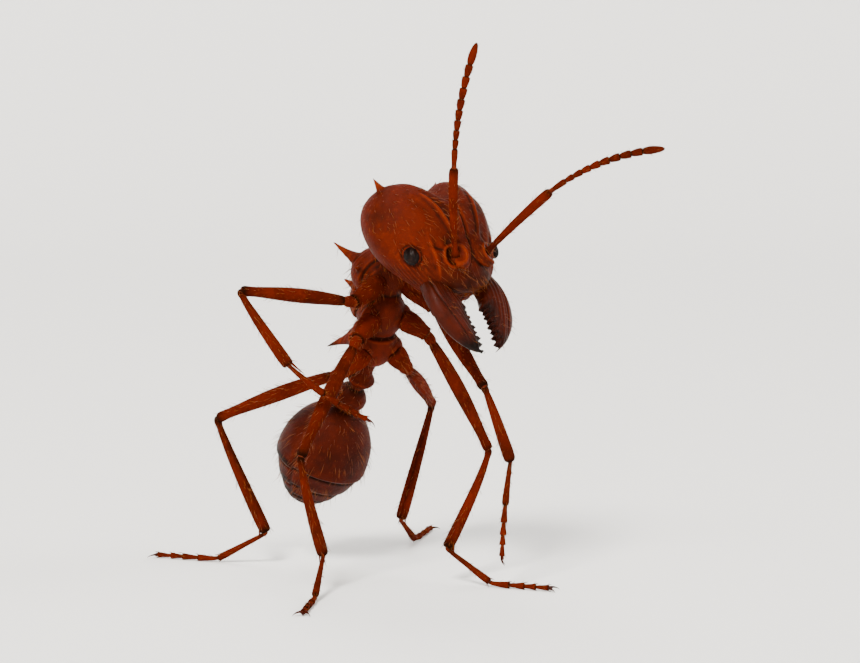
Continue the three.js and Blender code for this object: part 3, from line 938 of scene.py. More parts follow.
@dataclass(frozen=True)
class Bristles:
    """A scatter of fine curved hairs, each a closed three-sided taper rooted in the skin."""

    density: float
    length: float
    seed: int
    thick: float = 0.016
    lean: float = 0.55
    stray: ClassVar[float] = 0.22  # how far hairs stray from their common way
    curl: ClassVar[float] = 0.6
    droop: ClassVar[float] = 0.35  # the share of the curl that turns back to the skin
    spread: ClassVar[tuple[float, float]] = (0.6, 1.2)  # of the length
    sunk: ClassVar[float] = 0.02
    shares: ClassVar[Row] = (0.0, 0.34, 0.7)  # of the length, where the rings lie
    tapers: ClassVar[Row] = (1.0, 0.82, 0.5)
    patch: ClassVar[float] = 0.003  # the size of one hair on the flat map

    def grow(
        self,
        skin: Object,
        unwrap: Unwrap,
        lie: Sequence[float],
        keep: Callable[[Points, Points], Points] | None = None,
    ) -> Object:
        """Grows hairs on a skin.

        Args:
            skin: The mesh that carries them.
            unwrap: The skin's flat map.
            lie: The way that they lean.
            keep: The share of them that grow, from their roots and normals.

        Returns:
            The hairs as one mesh object.
        """
        roots, normals, draw = self.scatter(skin)
        if keep is not None:
            kept = draw.random(len(roots)) < keep(roots, normals)
            roots, normals = roots[kept], normals[kept]
        ways = np.array(lie) + draw.normal(0, self.stray, roots.shape)
        ways = unit(ways - normals * (ways * normals).sum(axis=1)[:, None])
        base = unit(normals * (1 - self.lean) + ways * self.lean)
        bent = unit(base + ways * self.curl - normals * self.curl * self.droop)
        lengths = self.length * draw.uniform(*self.spread, len(roots))[:, None]
        side = unit(np.cross(base, normals + ways * 0.3))
        over = np.cross(base, side)
        corners = []
        for share, taper in zip(self.shares, self.tapers):
            curve = share * base + share**2 * (bent - base) / 2
            middle = roots - normals * self.sunk + lengths * curve
            for third in range(3):
                turn = 2 * math.pi * third / 3
                aside = (side * math.cos(turn) + over * math.sin(turn)) * self.thick / 2 * taper
                corners.append(middle + aside)
        corners.append(roots + lengths * (base + bent) / 2)
        return self.mesh_of(np.stack(corners, axis=1), unwrap.flat(roots), skin.name + "_hair")

    def scatter(self, skin: Object) -> tuple[Points, Points, np.random.Generator]:
        """Even random roots on a skin.

        Args:
            skin: The mesh.

        Returns:
            The roots, the normals there, and the generator for further draws.
        """
        draw = np.random.default_rng(self.seed)
        mesh = skin.data
        mesh.calc_loop_triangles()
        corners = rows_of(mesh.loop_triangles, "vertices", 3, np.int32)
        points, normals = points_of(skin), normals_of(skin)
        first, second, third = (points[corner] for corner in corners.T)
        areas = np.linalg.norm(np.cross(second - first, third - first), axis=1) / 2
        count = int(areas.sum() * self.density)
        chosen = draw.choice(len(areas), count, p=areas / areas.sum())
        a, b = draw.random((2, count))
        folded = a + b > 1
        a, b = np.where(folded, 1 - a, a), np.where(folded, 1 - b, b)
        weights = np.stack([1 - a - b, a, b], axis=1)[:, :, None]
        trios = corners[chosen]
        roots = (points[trios] * weights).sum(axis=1)
        return roots, unit((normals[trios] * weights).sum(axis=1)), draw

    def mesh_of(self, corners: Points, flat: Points, name: str) -> Object:
        """Hairs as one mesh.

        Args:
            corners: The ten corners of each hair.
            flat: Each root's place on the skin's flat map.
            name: The object's name.

        Returns:
            The mesh object, with its flat map and its share along each hair.
        """
        one = []
        for ring in range(3):
            for side in range(3):
                start, end = 3 * ring + side, 3 * ring + (side + 1) % 3
                one.append((start, end, end + 3, start + 3) if ring < 2 else (start, end, 9))
        one.append((2, 1, 0))
        count = len(corners)
        faces = [tuple(corner + 10 * hair for corner in face) for hair in range(count) for face in one]
        mesh = bpy.data.meshes.new(name)
        mesh.from_pydata(corners.reshape(-1, 3), [], faces)
        layer = mesh.uv_layers.new(name=UNWRAP)
        loops = rows_of(mesh.loops, "vertex_index", 1, np.int32)[:, 0]
        grid = [[side / 2, ring / 3] for ring in range(3) for side in range(3)] + [[0.5, 1.0]]
        spots = (flat[:, None, :] + self.patch * np.array(grid)).reshape(-1, 2)
        layer.data.foreach_set("uv", spots[loops].astype(np.float32).ravel())
        obj = bpy.data.objects.new(name, mesh)
        bpy.context.scene.collection.objects.link(obj)
        mark(obj, "along", np.tile(np.repeat([*self.shares, 1.0], [3, 3, 3, 1]), count))
        return obj


# ------------ sub-assemblies


@dataclass
class SubAssembly:
    """What every sub-assembly shares: its two steps, and the way its meshes are handed to the frame."""

    home: ClassVar[Matrix] = Matrix.Identity(4)  # from the piece's own frame to the whole ant's

    def build(self) -> None:
        """Models the meshes."""
        raise NotImplementedError

    def dress(self) -> None:
        """Grows the hairs and hands the meshes over."""
        raise NotImplementedError

    def hand_over(self, obj: Object, finish: Finish, *nodes: str) -> None:
        """Brings a mesh from its home to its place in metres, dresses it and lets it ride on the frame.

        Args:
            obj: The finished mesh, in millimetres.
            finish: Its finish.
            nodes: The solids that it stands for.
        """
        obj.data.transform(self.home)
        obj.data.transform(Matrix.Scale(MM, 4))
        obj.data.materials.clear()
        obj.data.materials.append(finish.material())
        obj.data.shade_smooth()
        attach(obj, BODY)
        if nodes:
            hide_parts(*nodes)
        log.info("%s: %d faces, %s", obj.name, len(obj.data.polygons), finish.name)


SPINE_PROFILE = (
    (0.0, 1.7), (0.12, 1.25), (0.24, 0.9), (0.45, 0.58), (0.75, 0.3), (0.93, 0.14), (1.0, 0.06),
)
STRAIGHT = Vector((0, 0, 0))


def spine(
    name: str, root: Vector, way: Vector, length: float, radius: float, lean: Vector = STRAIGHT
) -> Object:
    """A curved spine with its root sunk.

    Args:
        name: Its name.
        root: Where it leaves the surface.
        way: Its direction there.
        length: Its length past the surface.
        radius: Its radius at the root.
        lean: How far its tip is bent aside.

    Returns:
        The mesh object.
    """
    heading = way.normalized()
    middle, tip = root + heading * length * 0.45, root + heading * length + lean
    path = Path.bowed(root - heading * radius, middle, tip)
    return lay_along(turned(name, SPINE_PROFILE), path, radius)


@dataclass
class Head(SubAssembly):
    """The head capsule in its own frame: its middle at the origin, +Y to the back, +Z to the top."""

    home: ClassVar[Matrix] = HEAD_FRAME
    length: float = 4.6
    width: float = 5.0
    depth: float = 3.5
    cleft: float = 0.95
    cleft_width: float = 0.85
    shrink: float = 0.992  # of the plain form, before its skin is grown
    lobe_way: Triple = (0.22, -0.42, 0.88)
    eye_way: Triple = (0.93, -0.22, 0.3)
    seat_way: Triple = (0.36, -0.5, 0.78)
    capsule: Object = field(init=False)

    def surface(self, ways: Points) -> Points:
        """The points of the plain capsule that lie in given directions from its middle.

        Args:
            ways: Directions, one a row.

        Returns:
            The points.
        """
        x, y, z = unit(ways).T
        blunt = np.where(y < 0, 0.6, 0.72)
        ring = np.hypot(x, z)
        along = np.sign(y) * np.abs(y) ** blunt
        fat = np.where(ring > 1e-6, np.maximum(ring, 1e-6) ** (blunt - 1), 0)
        broad = lerp(0.7, 1.0, smoothstep(along, -1, 0.25))
        deep = lerp(0.6, 1.0, smoothstep(along, -1, 0.15)) * np.where(z < 0, 0.84, 1.0)
        across = x * fat * broad * self.width / 2
        back = along * self.length / 2
        high = z * fat * deep * self.depth / 2
        back = back - self.cleft * hill(across, 0, self.cleft_width) * smoothstep(along, 0, 1)
        dent = 0.4 * hill(across, 0, 0.5) * smoothstep(along, -0.2, 0.8)
        return np.stack([across, back, high - np.maximum(0, z) * dent], axis=1)

    def spot(self, way: Sequence[float], side: int = 1) -> Vector:
        """One point of the plain capsule, on the ant's left or right."""
        return Vector(self.surface(np.array([[way[0] * side, way[1], way[2]]]))[0])

    def seat(self, side: int) -> Vector:
        """Where a feeler turns in the head, just outside the frontal lobe."""
        return self.spot(self.seat_way, side) + Vector((side * 0.02, 0, 0.05))

    def build(self) -> None:
        """Models the capsule: a ball drawn to a heart, with lobes, clypeus and spines grown on."""
        deselect()
        bpy.ops.mesh.primitive_cube_add(size=2)
        core = settled("head_core")
        with editing(core):
            bpy.ops.mesh.subdivide(number_cuts=47)
            bpy.ops.transform.tosphere(value=1)
        move_points(core, self.surface(points_of(core)) * self.shrink)
        clypeus = ball("clypeus", (0, -self.length / 2 + 0.4, 0.3), (1.12, 0.52, 0.47))
        parts = [core, clypeus, self.neck_rim()]
        for side in SIDES.values():
            way = Vector((side * 0.45, 0.75, 0.35))
            parts.append(self.lobe(side))
            parts.append(spine("occipital_spine", self.spot((0.62, 0.7, 0.36), side), way, 0.5, 0.2))
            parts.append(spine("nape_spine", self.spot((0.4, 0.86, 0.2), side), way, 0.2, 0.12))
        self.capsule = fused(joined("head_capsule", parts), BODY_VOXEL, smoothing=5)
        emboss(self.capsule, self.relief)
        shaped(self.capsule, "SMOOTH", factor=0.4, iterations=1)
        mark_hollows(self.capsule)
        x, y, z = points_of(self.capsule).T
        front = smoothstep(-y, 1.7, 2.3) * 0.75
        rim = hill(np.abs(x), 0.62, 0.1) * window(y, -1.5, 0.2) * (z > 1) * 0.4
        mark(self.capsule, "joint", np.maximum(front, rim))

    def neck_rim(self) -> Object:
        """The raised rim round the opening where the neck leaves the head."""
        rim = turned("neck_rim", ((0, 1.5), (0.3, 1.3), (0.6, 1.16), (0.85, 1.22), (1, 1.05)))
        line = Path.straight(NECK_ROOT, HEAD_TO_TRUNK.inverted() @ (NECK_BEND * 0.75))
        return lay_along(rim, line, NECK_RADIUS, span=(0.0, 0.66))

    def lobe(self, side: int) -> Object:
        """One frontal lobe, the raised plate that shelters the seat of the feeler."""
        seat = self.spot(self.lobe_way, side)
        plate = ball("frontal_lobe", (0, 0, 0), (0.42, 0.75, 0.18))
        turn = Matrix.Rotation(0.28, 4, "X") @ Matrix.Rotation(side * 0.32, 4, "Z")
        plate.data.transform(Matrix.Translation(seat + Vector((0, 0, -0.01))) @ turn)
        return plate

    def relief(self, points: Points, normals: Points) -> Points:
        """The fine form of the capsule: furrows, ridges, sockets and creases.

        Args:
            points: The vertices.
            normals: Their normals.

        Returns:
            The height of each vertex over the plain form.
        """
        x, y, z = np.abs(points[:, 0]), points[:, 1], points[:, 2]
        top = smoothstep(normals[:, 2], 0.1, 0.5)
        below = smoothstep(-normals[:, 2], 0.1, 0.5)
        carina = 0.55 + 0.3 * (y + 1.0)
        # on top: the furrow, the carinae and their grooves, the clypeus's edge and the cheek's ridge
        height = -0.07 * hill(x, 0, 0.05) * window(y, -1.25, 1.1) * top
        height += 0.1 * hill(x, carina, 0.07) * window(y, -0.9, 0.75, 0.3) * top
        height -= 0.09 * hill(x, carina + 0.3, 0.19) * window(y, -1.4, 0.4, 0.6) * top
        height -= 0.035 * hill(y, -1.52 + 0.25 * x**2, 0.06) * window(x, 0.75, 1.5, 0.15) * top
        height += 0.05 * hill(x, 1.62 + 0.2 * y, 0.06) * window(y, -1.9, -0.7, 0.2) * top
        # below: the seam of the throat, and the rims round the hollows of the mouth
        height -= 0.06 * hill(x, 0, 0.07) * window(y, -1.4, 1.2) * below
        height += 0.06 * hill(np.hypot(x - 0.62, y + 1.35), 0.42, 0.09) * below
        # the ring and socket of each feeler, and the groove round each eye
        for side in SIDES.values():
            away = np.linalg.norm(points - np.array(self.seat(side)), axis=1)
            height += 0.07 * hill(away, 0.38, 0.07) - 0.22 * hill(away, 0, 0.22)
            from_eye = (points - np.array(self.spot(self.eye_way, side))) * [0.8, 0.85, 1.0]
            height -= 0.04 * hill(np.linalg.norm(from_eye, axis=1), 0.31, 0.04)
        # fine furrows that fan over the brow, creases on the cheeks, and shallow dimples
        fan = np.arctan2(x, y + 3.4) * 46
        furrows = np.sin(fan + 0.6 * np.sin(y * 4) + 0.8 * np.sin(x * 5)) * 0.009
        height += furrows * smoothstep(x, 0.5, 1.0) * top * window(y, -1.6, 1.9, 0.4)
        creases = np.sin((z - 0.24 * y) * 44 + np.sin(y * 3)) * 0.009
        cheek = smoothstep(np.abs(normals[:, 0]), 0.45, 0.8)
        height += creases * window(y, -2.1, -0.6, 0.35) * cheek
        dimples = np.sin(13 * points[:, 0] + 3 * np.sin(5 * y)) * np.sin(14 * y + 3 * np.sin(6 * z))
        return height - 0.006 * smoothstep(dimples, 0.3, 1.0)

    @staticmethod
    def bare(points: Points, normals: Points) -> Points:
        """Few hairs below, and none at the neck."""
        cheek = lerp(0.45, 1.0, smoothstep(normals[:, 2], -0.4, 0.5))
        return cheek * smoothstep(normals[:, 1], 1.02, 0.7)

    @staticmethod
    def front(points: Points, normals: Points) -> Points:
        """Hairs at the front edge alone."""
        return smoothstep(-points[:, 1], 1.75, 2.1)

    def dress(self) -> None:
        """Grows the hairs and hands all of it over."""
        unwrap = Unwrap(Vector((0, -2.4, 0)), Vector((0, 2.4, 0)))
        forward = (0.0, -1.0, 0.15)
        coats = (
            (Bristles(9.0, 0.4, seed=11, thick=0.014), self.bare),
            (Bristles(46.0, 0.14, seed=12, thick=0.01, lean=0.8), self.bare),
            (Bristles(14.0, 0.46, seed=13, thick=0.014), self.front),
        )
        hairs = [coat.grow(self.capsule, unwrap, forward, keep) for coat, keep in coats]
        self.hand_over(self.capsule, BODY_CUTICLE, "head")
        self.hand_over(joined("head_bristles", hairs), GOLDEN_HAIR)


@dataclass
class Eye(SubAssembly):
    """A compound eye, a flat oval dome of small facets."""

    head: Head
    side_name: str
    radii: Triple = (0.19, 0.32, 0.26)
    bulge: float = 0.035
    tilt: float = 0.28
    facets: Object = field(init=False)

    def build(self) -> None:
        """Models the dome from a ball of triangles and raises a facet round each of its seeds."""
        side = SIDES[self.side_name]
        deselect()
        bpy.ops.mesh.primitive_ico_sphere_add(subdivisions=4, radius=1)
        seeds = settled("facet_seeds")
        tree = KDTree(len(seeds.data.vertices))
        for vertex in seeds.data.vertices:
            tree.insert(vertex.co, vertex.index)
        tree.balance()
        deselect()
        bpy.ops.mesh.primitive_ico_sphere_add(subdivisions=6, radius=1)
        self.facets = settled(f"compound_eye_{self.side_name}")
        points = points_of(self.facets)
        away = np.array([tree.find(point)[2] for point in points])
        pitch = away.max()
        points *= (1 + self.bulge * (1 - (away / pitch) ** 2))[:, None]
        move_points(self.facets, points * self.radii)
        mark(self.facets, "hollow", 0.5 + 0.5 * (away / pitch) ** 3)
        bpy.data.objects.remove(seeds)
        seat = self.head.spot(self.head.eye_way, side)
        turn = Matrix.Rotation(-side * self.tilt, 4, "Y")
        place = Matrix.Translation(seat - Vector((side * 0.02, 0, 0))) @ turn
        self.facets.data.transform(HEAD_FRAME @ place)

    def dress(self) -> None:
        """Hands the eye over."""
        self.hand_over(self.facets, EYE_GLOSS, f"eye_{self.side_name}")


@dataclass
class Mandible(SubAssembly):
    """One jaw: a curved wedge of a blade with teeth along its inner edge."""

    home: ClassVar[Matrix] = HEAD_FRAME
    outer_edge: ClassVar[Profile] = (
        (0.36, 0.5), (0.53, -0.2), (0.47, -0.95), (0.16, -1.62), (-0.35, -2.06), (-0.82, -2.27),
        (-1.19, -2.35),
    )
    inner_edge: ClassVar[Profile] = ((-0.72, -0.62), (-0.58, -0.35), (-0.5, 0.0), (-0.45, 0.5))
    hinge: ClassVar[Triple] = (1.175, -2.02, -0.12)
    side_name: str
    length: float = 2.35
    width: float = 1.45
    thickness: float = 0.62
    teeth: int = 8
    crowding: float = 0.85  # below 1, teeth are larger towards the apex
    worn: float = 0.06
    bevel: float = 0.42
    droop: float = 0.42
    open: float = 5.0  # degrees
    edge_steps: int = 18
    blade: Object = field(init=False)

    def outline(self) -> list[tuple[float, float]]:
        """The outline of the left blade, from the hinge round the apex and the teeth to the hinge."""
        outer = Path.through([Vector((x, y, 0)) for x, y in self.outer_edge])
        steps = range(self.edge_steps + 1)
        corners = [tuple(outer.point(step / self.edge_steps)[:2]) for step in steps]
        apex, heel = Vector(corners[-1]), Vector((-0.62 * self.width, -0.34 * self.length))
        for tooth in range(1, self.teeth + 1):
            share = (tooth / self.teeth) ** self.crowding
            before = ((tooth - 1) / self.teeth) ** self.crowding
            deep = lerp(0.38, 0.24, share)
            valley = apex.lerp(heel, lerp(before, share, 0.6))
            corners.append((valley.x + deep, valley.y - 0.02))
            point = apex.lerp(heel, share)
            corners.append((point.x + (self.worn if tooth % 2 else 0.0), point.y))
        return corners + list(self.inner_edge)

    def build(self) -> None:
        """Models the blade: the outline is filled, given its depth and thinned to the teeth."""
        corners = self.outline()
        deselect()
        bpy.ops.mesh.primitive_circle_add(vertices=len(corners), radius=1, fill_type="NGON")
        self.blade = settled(f"mandible_blade_{self.side_name}")
        move_points(self.blade, np.array([(x, y, -0.5) for x, y in corners]))
        with editing(self.blade):
            bpy.ops.mesh.extrude_region_move(TRANSFORM_OT_translate={"value": (0, 0, 1)})
            bpy.ops.mesh.select_all(action="SELECT")
            bpy.ops.mesh.normals_make_consistent(inside=False)
        fused(self.blade, FINE_VOXEL)
        points = points_of(self.blade)
        reach = np.clip(-points[:, 1] / self.length, 0, 1)
        rounding = np.sqrt(1 - (1 - np.clip(self.inset(points, corners) / self.bevel, 0, 1)) ** 2)
        thick = self.thickness * lerp(1.2, 0.8, reach) * lerp(0.16, 1.0, rounding)
        points[:, 2] = points[:, 2] * thick - self.droop * reach**2
        move_points(self.blade, points)
        fused(self.blade, TOOTH_VOXEL, smoothing=3)
        emboss(self.blade, self.relief)
        mark_hollows(self.blade, rounds=6)
        self.darken()
        self.hang()

    def darken(self) -> None:
        """Marks the toothed edge and the apex, which are darker."""
        x, y, _ = points_of(self.blade).T
        reach = np.clip(-y / self.length, 0, 1)
        margin = lerp(-0.62 * self.width, -0.82 * self.width, smoothstep(reach, 0.34, 1.0))
        edge = (1 - smoothstep(x - margin, 0.15, 0.75)) * smoothstep(reach, 0.2, 0.4)
        mark(self.blade, "joint", edge + smoothstep(reach, 0.7, 1.0))

    @staticmethod
    def inset(points: Points, corners: list[tuple[float, float]]) -> Points:
        """How far points of the blade lie from its outline."""
        starts = np.array(corners)
        ways = np.roll(starts, -1, axis=0) - starts
        gaps = points[:, None, :2] - starts[None]
        share = np.clip((gaps * ways).sum(axis=2) / (ways**2).sum(axis=1), 0, 1)
        return np.linalg.norm(gaps - ways * share[:, :, None], axis=2).min(axis=1)

    def relief(self, points: Points, normals: Points) -> Points:
        """Fine furrows along the blade, and the groove above the outer edge."""
        x, y = points[:, 0], points[:, 1]
        outer = 0.5 - 0.32 * np.clip(-y - 0.2, 0, 3) ** 1.5
        furrows = 0.009 * np.sin((outer - x) * 38) * window(outer - x, 0.15, 1.1)
        groove = 0.04 * hill(outer - x, 0.16, 0.05) * window(y, -2.0, 0.2)
        return (furrows - groove) * (np.abs(normals[:, 2]) > 0.4)

    def hang(self) -> None:
        """Turns the blade about its hinge, mirrored for the right side, and sets it on the head."""
        turn = Matrix.Rotation(math.radians(self.open), 4, "Z")
        self.blade.data.transform(Matrix.Translation(self.hinge) @ turn)
        if SIDES[self.side_name] < 0:
            self.blade.data.transform(Matrix.Scale(-1, 4, Vector((1, 0, 0))))
            self.blade.data.flip_normals()

    def dress(self) -> None:
        """Grows short hairs on the outer side and hands the jaw over."""
        unwrap = Unwrap(Vector((0, -1.6, 0)), Vector((0, -4.6, 0)))
        plan = Bristles(9.0, 0.28, seed=21 + SIDES[self.side_name], thick=0.012, lean=0.35)
        hairs = plan.grow(self.blade, unwrap, (0.0, -1.0, 0.0), self.outer_side)
        self.hand_over(self.blade, MANDIBLE_GLOSS, f"mandible_{self.side_name}")
        self.hand_over(joined(f"mandible_bristles_{self.side_name}", [hairs]), GOLDEN_HAIR)

    @staticmethod
    def outer_side(points: Points, normals: Points) -> Points:
        """Hairs on the outer side alone."""
        return smoothstep(np.abs(points[:, 0]), 0.45, 0.9) * (points[:, 1] < -2.1)


@dataclass
class Templates:
    """The small turned forms that repeat over the legs and feelers, modelled once at unit size."""

    profiles: ClassVar[dict[str, Profile]] = {
        "coxa": (
            (0, 0.6), (0.05, 0.84), (0.1, 0.87), (0.13, 0.8), (0.17, 0.93), (0.3, 1.0), (0.55, 0.9),
            (0.8, 0.68), (0.9, 0.62), (0.94, 0.68), (0.98, 0.62), (1, 0.36),
        ),
        "trochanter": ((0, 0.6), (0.2, 0.85), (0.5, 1.0), (0.75, 0.92), (0.9, 0.7), (1, 0.66)),
        "femur": (
            (0, 0.5), (0.02, 0.64), (0.07, 0.7), (0.2, 0.86), (0.42, 1.0), (0.66, 0.86), (0.86, 0.62),
            (0.93, 0.66), (0.975, 0.72), (1, 0.56),
        ),
        "tibia": (
            (0, 0.34), (0.015, 0.6), (0.045, 0.66), (0.075, 0.5), (0.12, 0.58), (0.4, 0.82),
            (0.75, 1.0), (0.94, 1.02), (0.985, 0.94), (1, 0.7),
        ),
        "tarsomere": ((0, 0.45), (0.06, 0.6), (0.5, 0.74), (0.86, 1.0), (0.97, 0.98), (1, 0.7)),
        "claw": ((0, 1.0), (0.1, 1.05), (0.4, 0.7), (0.75, 0.36), (1, 0.05)),
        "spur": ((0, 1.0), (0.15, 0.95), (0.6, 0.6), (1, 0.08)),
        "pad": ((0, 0.5), (0.3, 0.9), (0.75, 1.0), (1, 0.55)),
        "scape": (
            (0, 0.5), (0.02, 0.95), (0.055, 1.0), (0.085, 0.55), (0.13, 0.62), (0.4, 0.84),
            (0.75, 1.04), (0.93, 1.1), (0.985, 0.98), (1, 0.7),
        ),
        "bead": ((0, 0.5), (0.08, 0.7), (0.4, 0.88), (0.82, 1.0), (0.97, 0.9), (1, 0.6)),
        "last_bead": ((0, 0.5), (0.05, 0.8), (0.3, 1.0), (0.6, 0.92), (0.88, 0.6), (1, 0.22)),
        "skin": (
            (0, 0.7), (0.14, 1.0), (0.28, 0.82), (0.42, 1.0), (0.56, 0.82), (0.7, 1.0), (0.86, 0.82),
            (1, 0.6),
        ),
    }
    sockets: ClassVar[dict[str, float]] = {
        "femur": 0.02, "tibia": 0.02, "tarsomere": 0.06, "scape": 0.02, "bead": 0.05,
    }
    fluted: ClassVar[tuple[str, ...]] = ("femur", "tibia", "scape")
    flute: ClassVar[float] = 0.22  # the depth of their groove, of the radius
    forms: dict[str, Object] = field(default_factory=dict)

    def build(self) -> None:
        """Turns each form, with a groove along the inner side of the long ones."""
        for name, profile in self.profiles.items():
            form = turned(f"form_{name}", profile, socket=self.sockets.get(name, 0.0))
            points = points_of(form)
            x, y, height = points.T
            inner = np.arctan2(y, x) + math.pi / 2
            groove = hill(inner, 0, 0.4) * window(height, 0.1, 0.96, 0.05) * (name in self.fluted)
            points[:, :2] *= (1 - self.flute * groove)[:, None]
            move_points(form, points)
            mark(form, "joint", 0.9 * np.maximum(hill(height, 0, 0.07), hill(height, 1, 0.05)))
            mark(form, "hollow", 0.5 + 0.3 * hill(inner, 0, 0.25) * groove)
            self.forms[name] = form

    def lay(self, form: str, name: str, path: Path, radius: float, **places: Sequence[float]) -> Object:
        """A copy of a form under a name, laid along a path."""
        return lay_along(copied(self.forms[form], name), path, radius, **places)

    def clear(self) -> None:
        """Takes the forms off the bench."""
        for form in self.forms.values():
            bpy.data.objects.remove(form)


@dataclass
class Mouthparts(SubAssembly):
    """The upper lip, the mouth behind it and the four short palps, in the head's frame."""

    home: ClassVar[Matrix] = HEAD_FRAME
    # the knots, the number of beads and the radius of each palp
    palp_lines: ClassVar[tuple[tuple[tuple[Triple, ...], int, float], ...]] = (
        (((0.34, -2.05, -0.68), (0.45, -2.4, -0.8), (0.38, -2.7, -0.82)), 5, 0.038),
        (((0.14, -2.1, -0.74), (0.18, -2.36, -0.85), (0.13, -2.54, -0.88)), 3, 0.032),
    )
    templates: Templates
    mouth: Object = field(init=False)
    palps: Object = field(init=False)

    def build(self) -> None:
        """Models the lip with the mouth, and lays the beads of the palps."""
        lip = ball("lip", (0, -2.12, -0.28), (0.5, 0.22, 0.38))
        throat = ball("throat", (0, -1.88, -0.64), (0.46, 0.5, 0.26))
        self.mouth = fused(joined("mouthparts", [lip, throat]), FINE_VOXEL, smoothing=4)
        emboss(self.mouth, self.relief)
        mark_hollows(self.mouth)
        mark(self.mouth, "joint", 0.3 + 0.5 * hill(points_of(self.mouth)[:, 2], -0.58, 0.12))
        beads = []
        for side in SIDES.values():
            for knots, count, radius in self.palp_lines:
                path = Path.through([Vector((side * x, y, z)) for x, y, z in knots])
                for number in range(count):
                    form = "bead" if number < count - 1 else "last_bead"
                    span = (number / count, (number + 1) / count + 0.02)
                    beads.append(self.templates.lay(form, "palp_bead", path, radius, span=span))
        self.palps = joined("palps", beads)

    @staticmethod
    def relief(points: Points, normals: Points) -> Points:
        """The groove down the lip, the fold under it and the furrows of the mouth."""
        x, z = points[:, 0], points[:, 2]
        front = smoothstep(-normals[:, 1], 0.1, 0.6)
        height = -0.05 * hill(x, 0, 0.05) * window(z, -0.7, 0.1, 0.08) * front
        height -= 0.04 * hill(z, -0.5 - 0.3 * x**2, 0.035) * front
        height += 0.04 * hill(np.abs(x), 0.36, 0.05) * window(z, -0.55, -0.05, 0.08) * front
        return height + 0.012 * np.sin(z * 40) * smoothstep(-z, 0.6, 0.75)

    def dress(self) -> None:
        """Grows a fringe on the lip and hands the pieces over."""
        unwrap = Unwrap(Vector((0, -1.6, -0.5)), Vector((0, -2.6, -0.5)))
        plan = Bristles(30.0, 0.24, seed=61, thick=0.012, lean=0.5)
        fringe = plan.grow(self.mouth, unwrap, (0.0, -0.6, -0.8), self.front)
        self.hand_over(self.mouth, BODY_CUTICLE)
        self.hand_over(self.palps, LIMB_CUTICLE)
        self.hand_over(joined("lip_bristles", [fringe]), GOLDEN_HAIR)

    @staticmethod
    def front(points: Points, normals: Points) -> Points:
        """Hairs on the side that faces forward alone."""
        return smoothstep(-normals[:, 1], 0.0, 0.5)


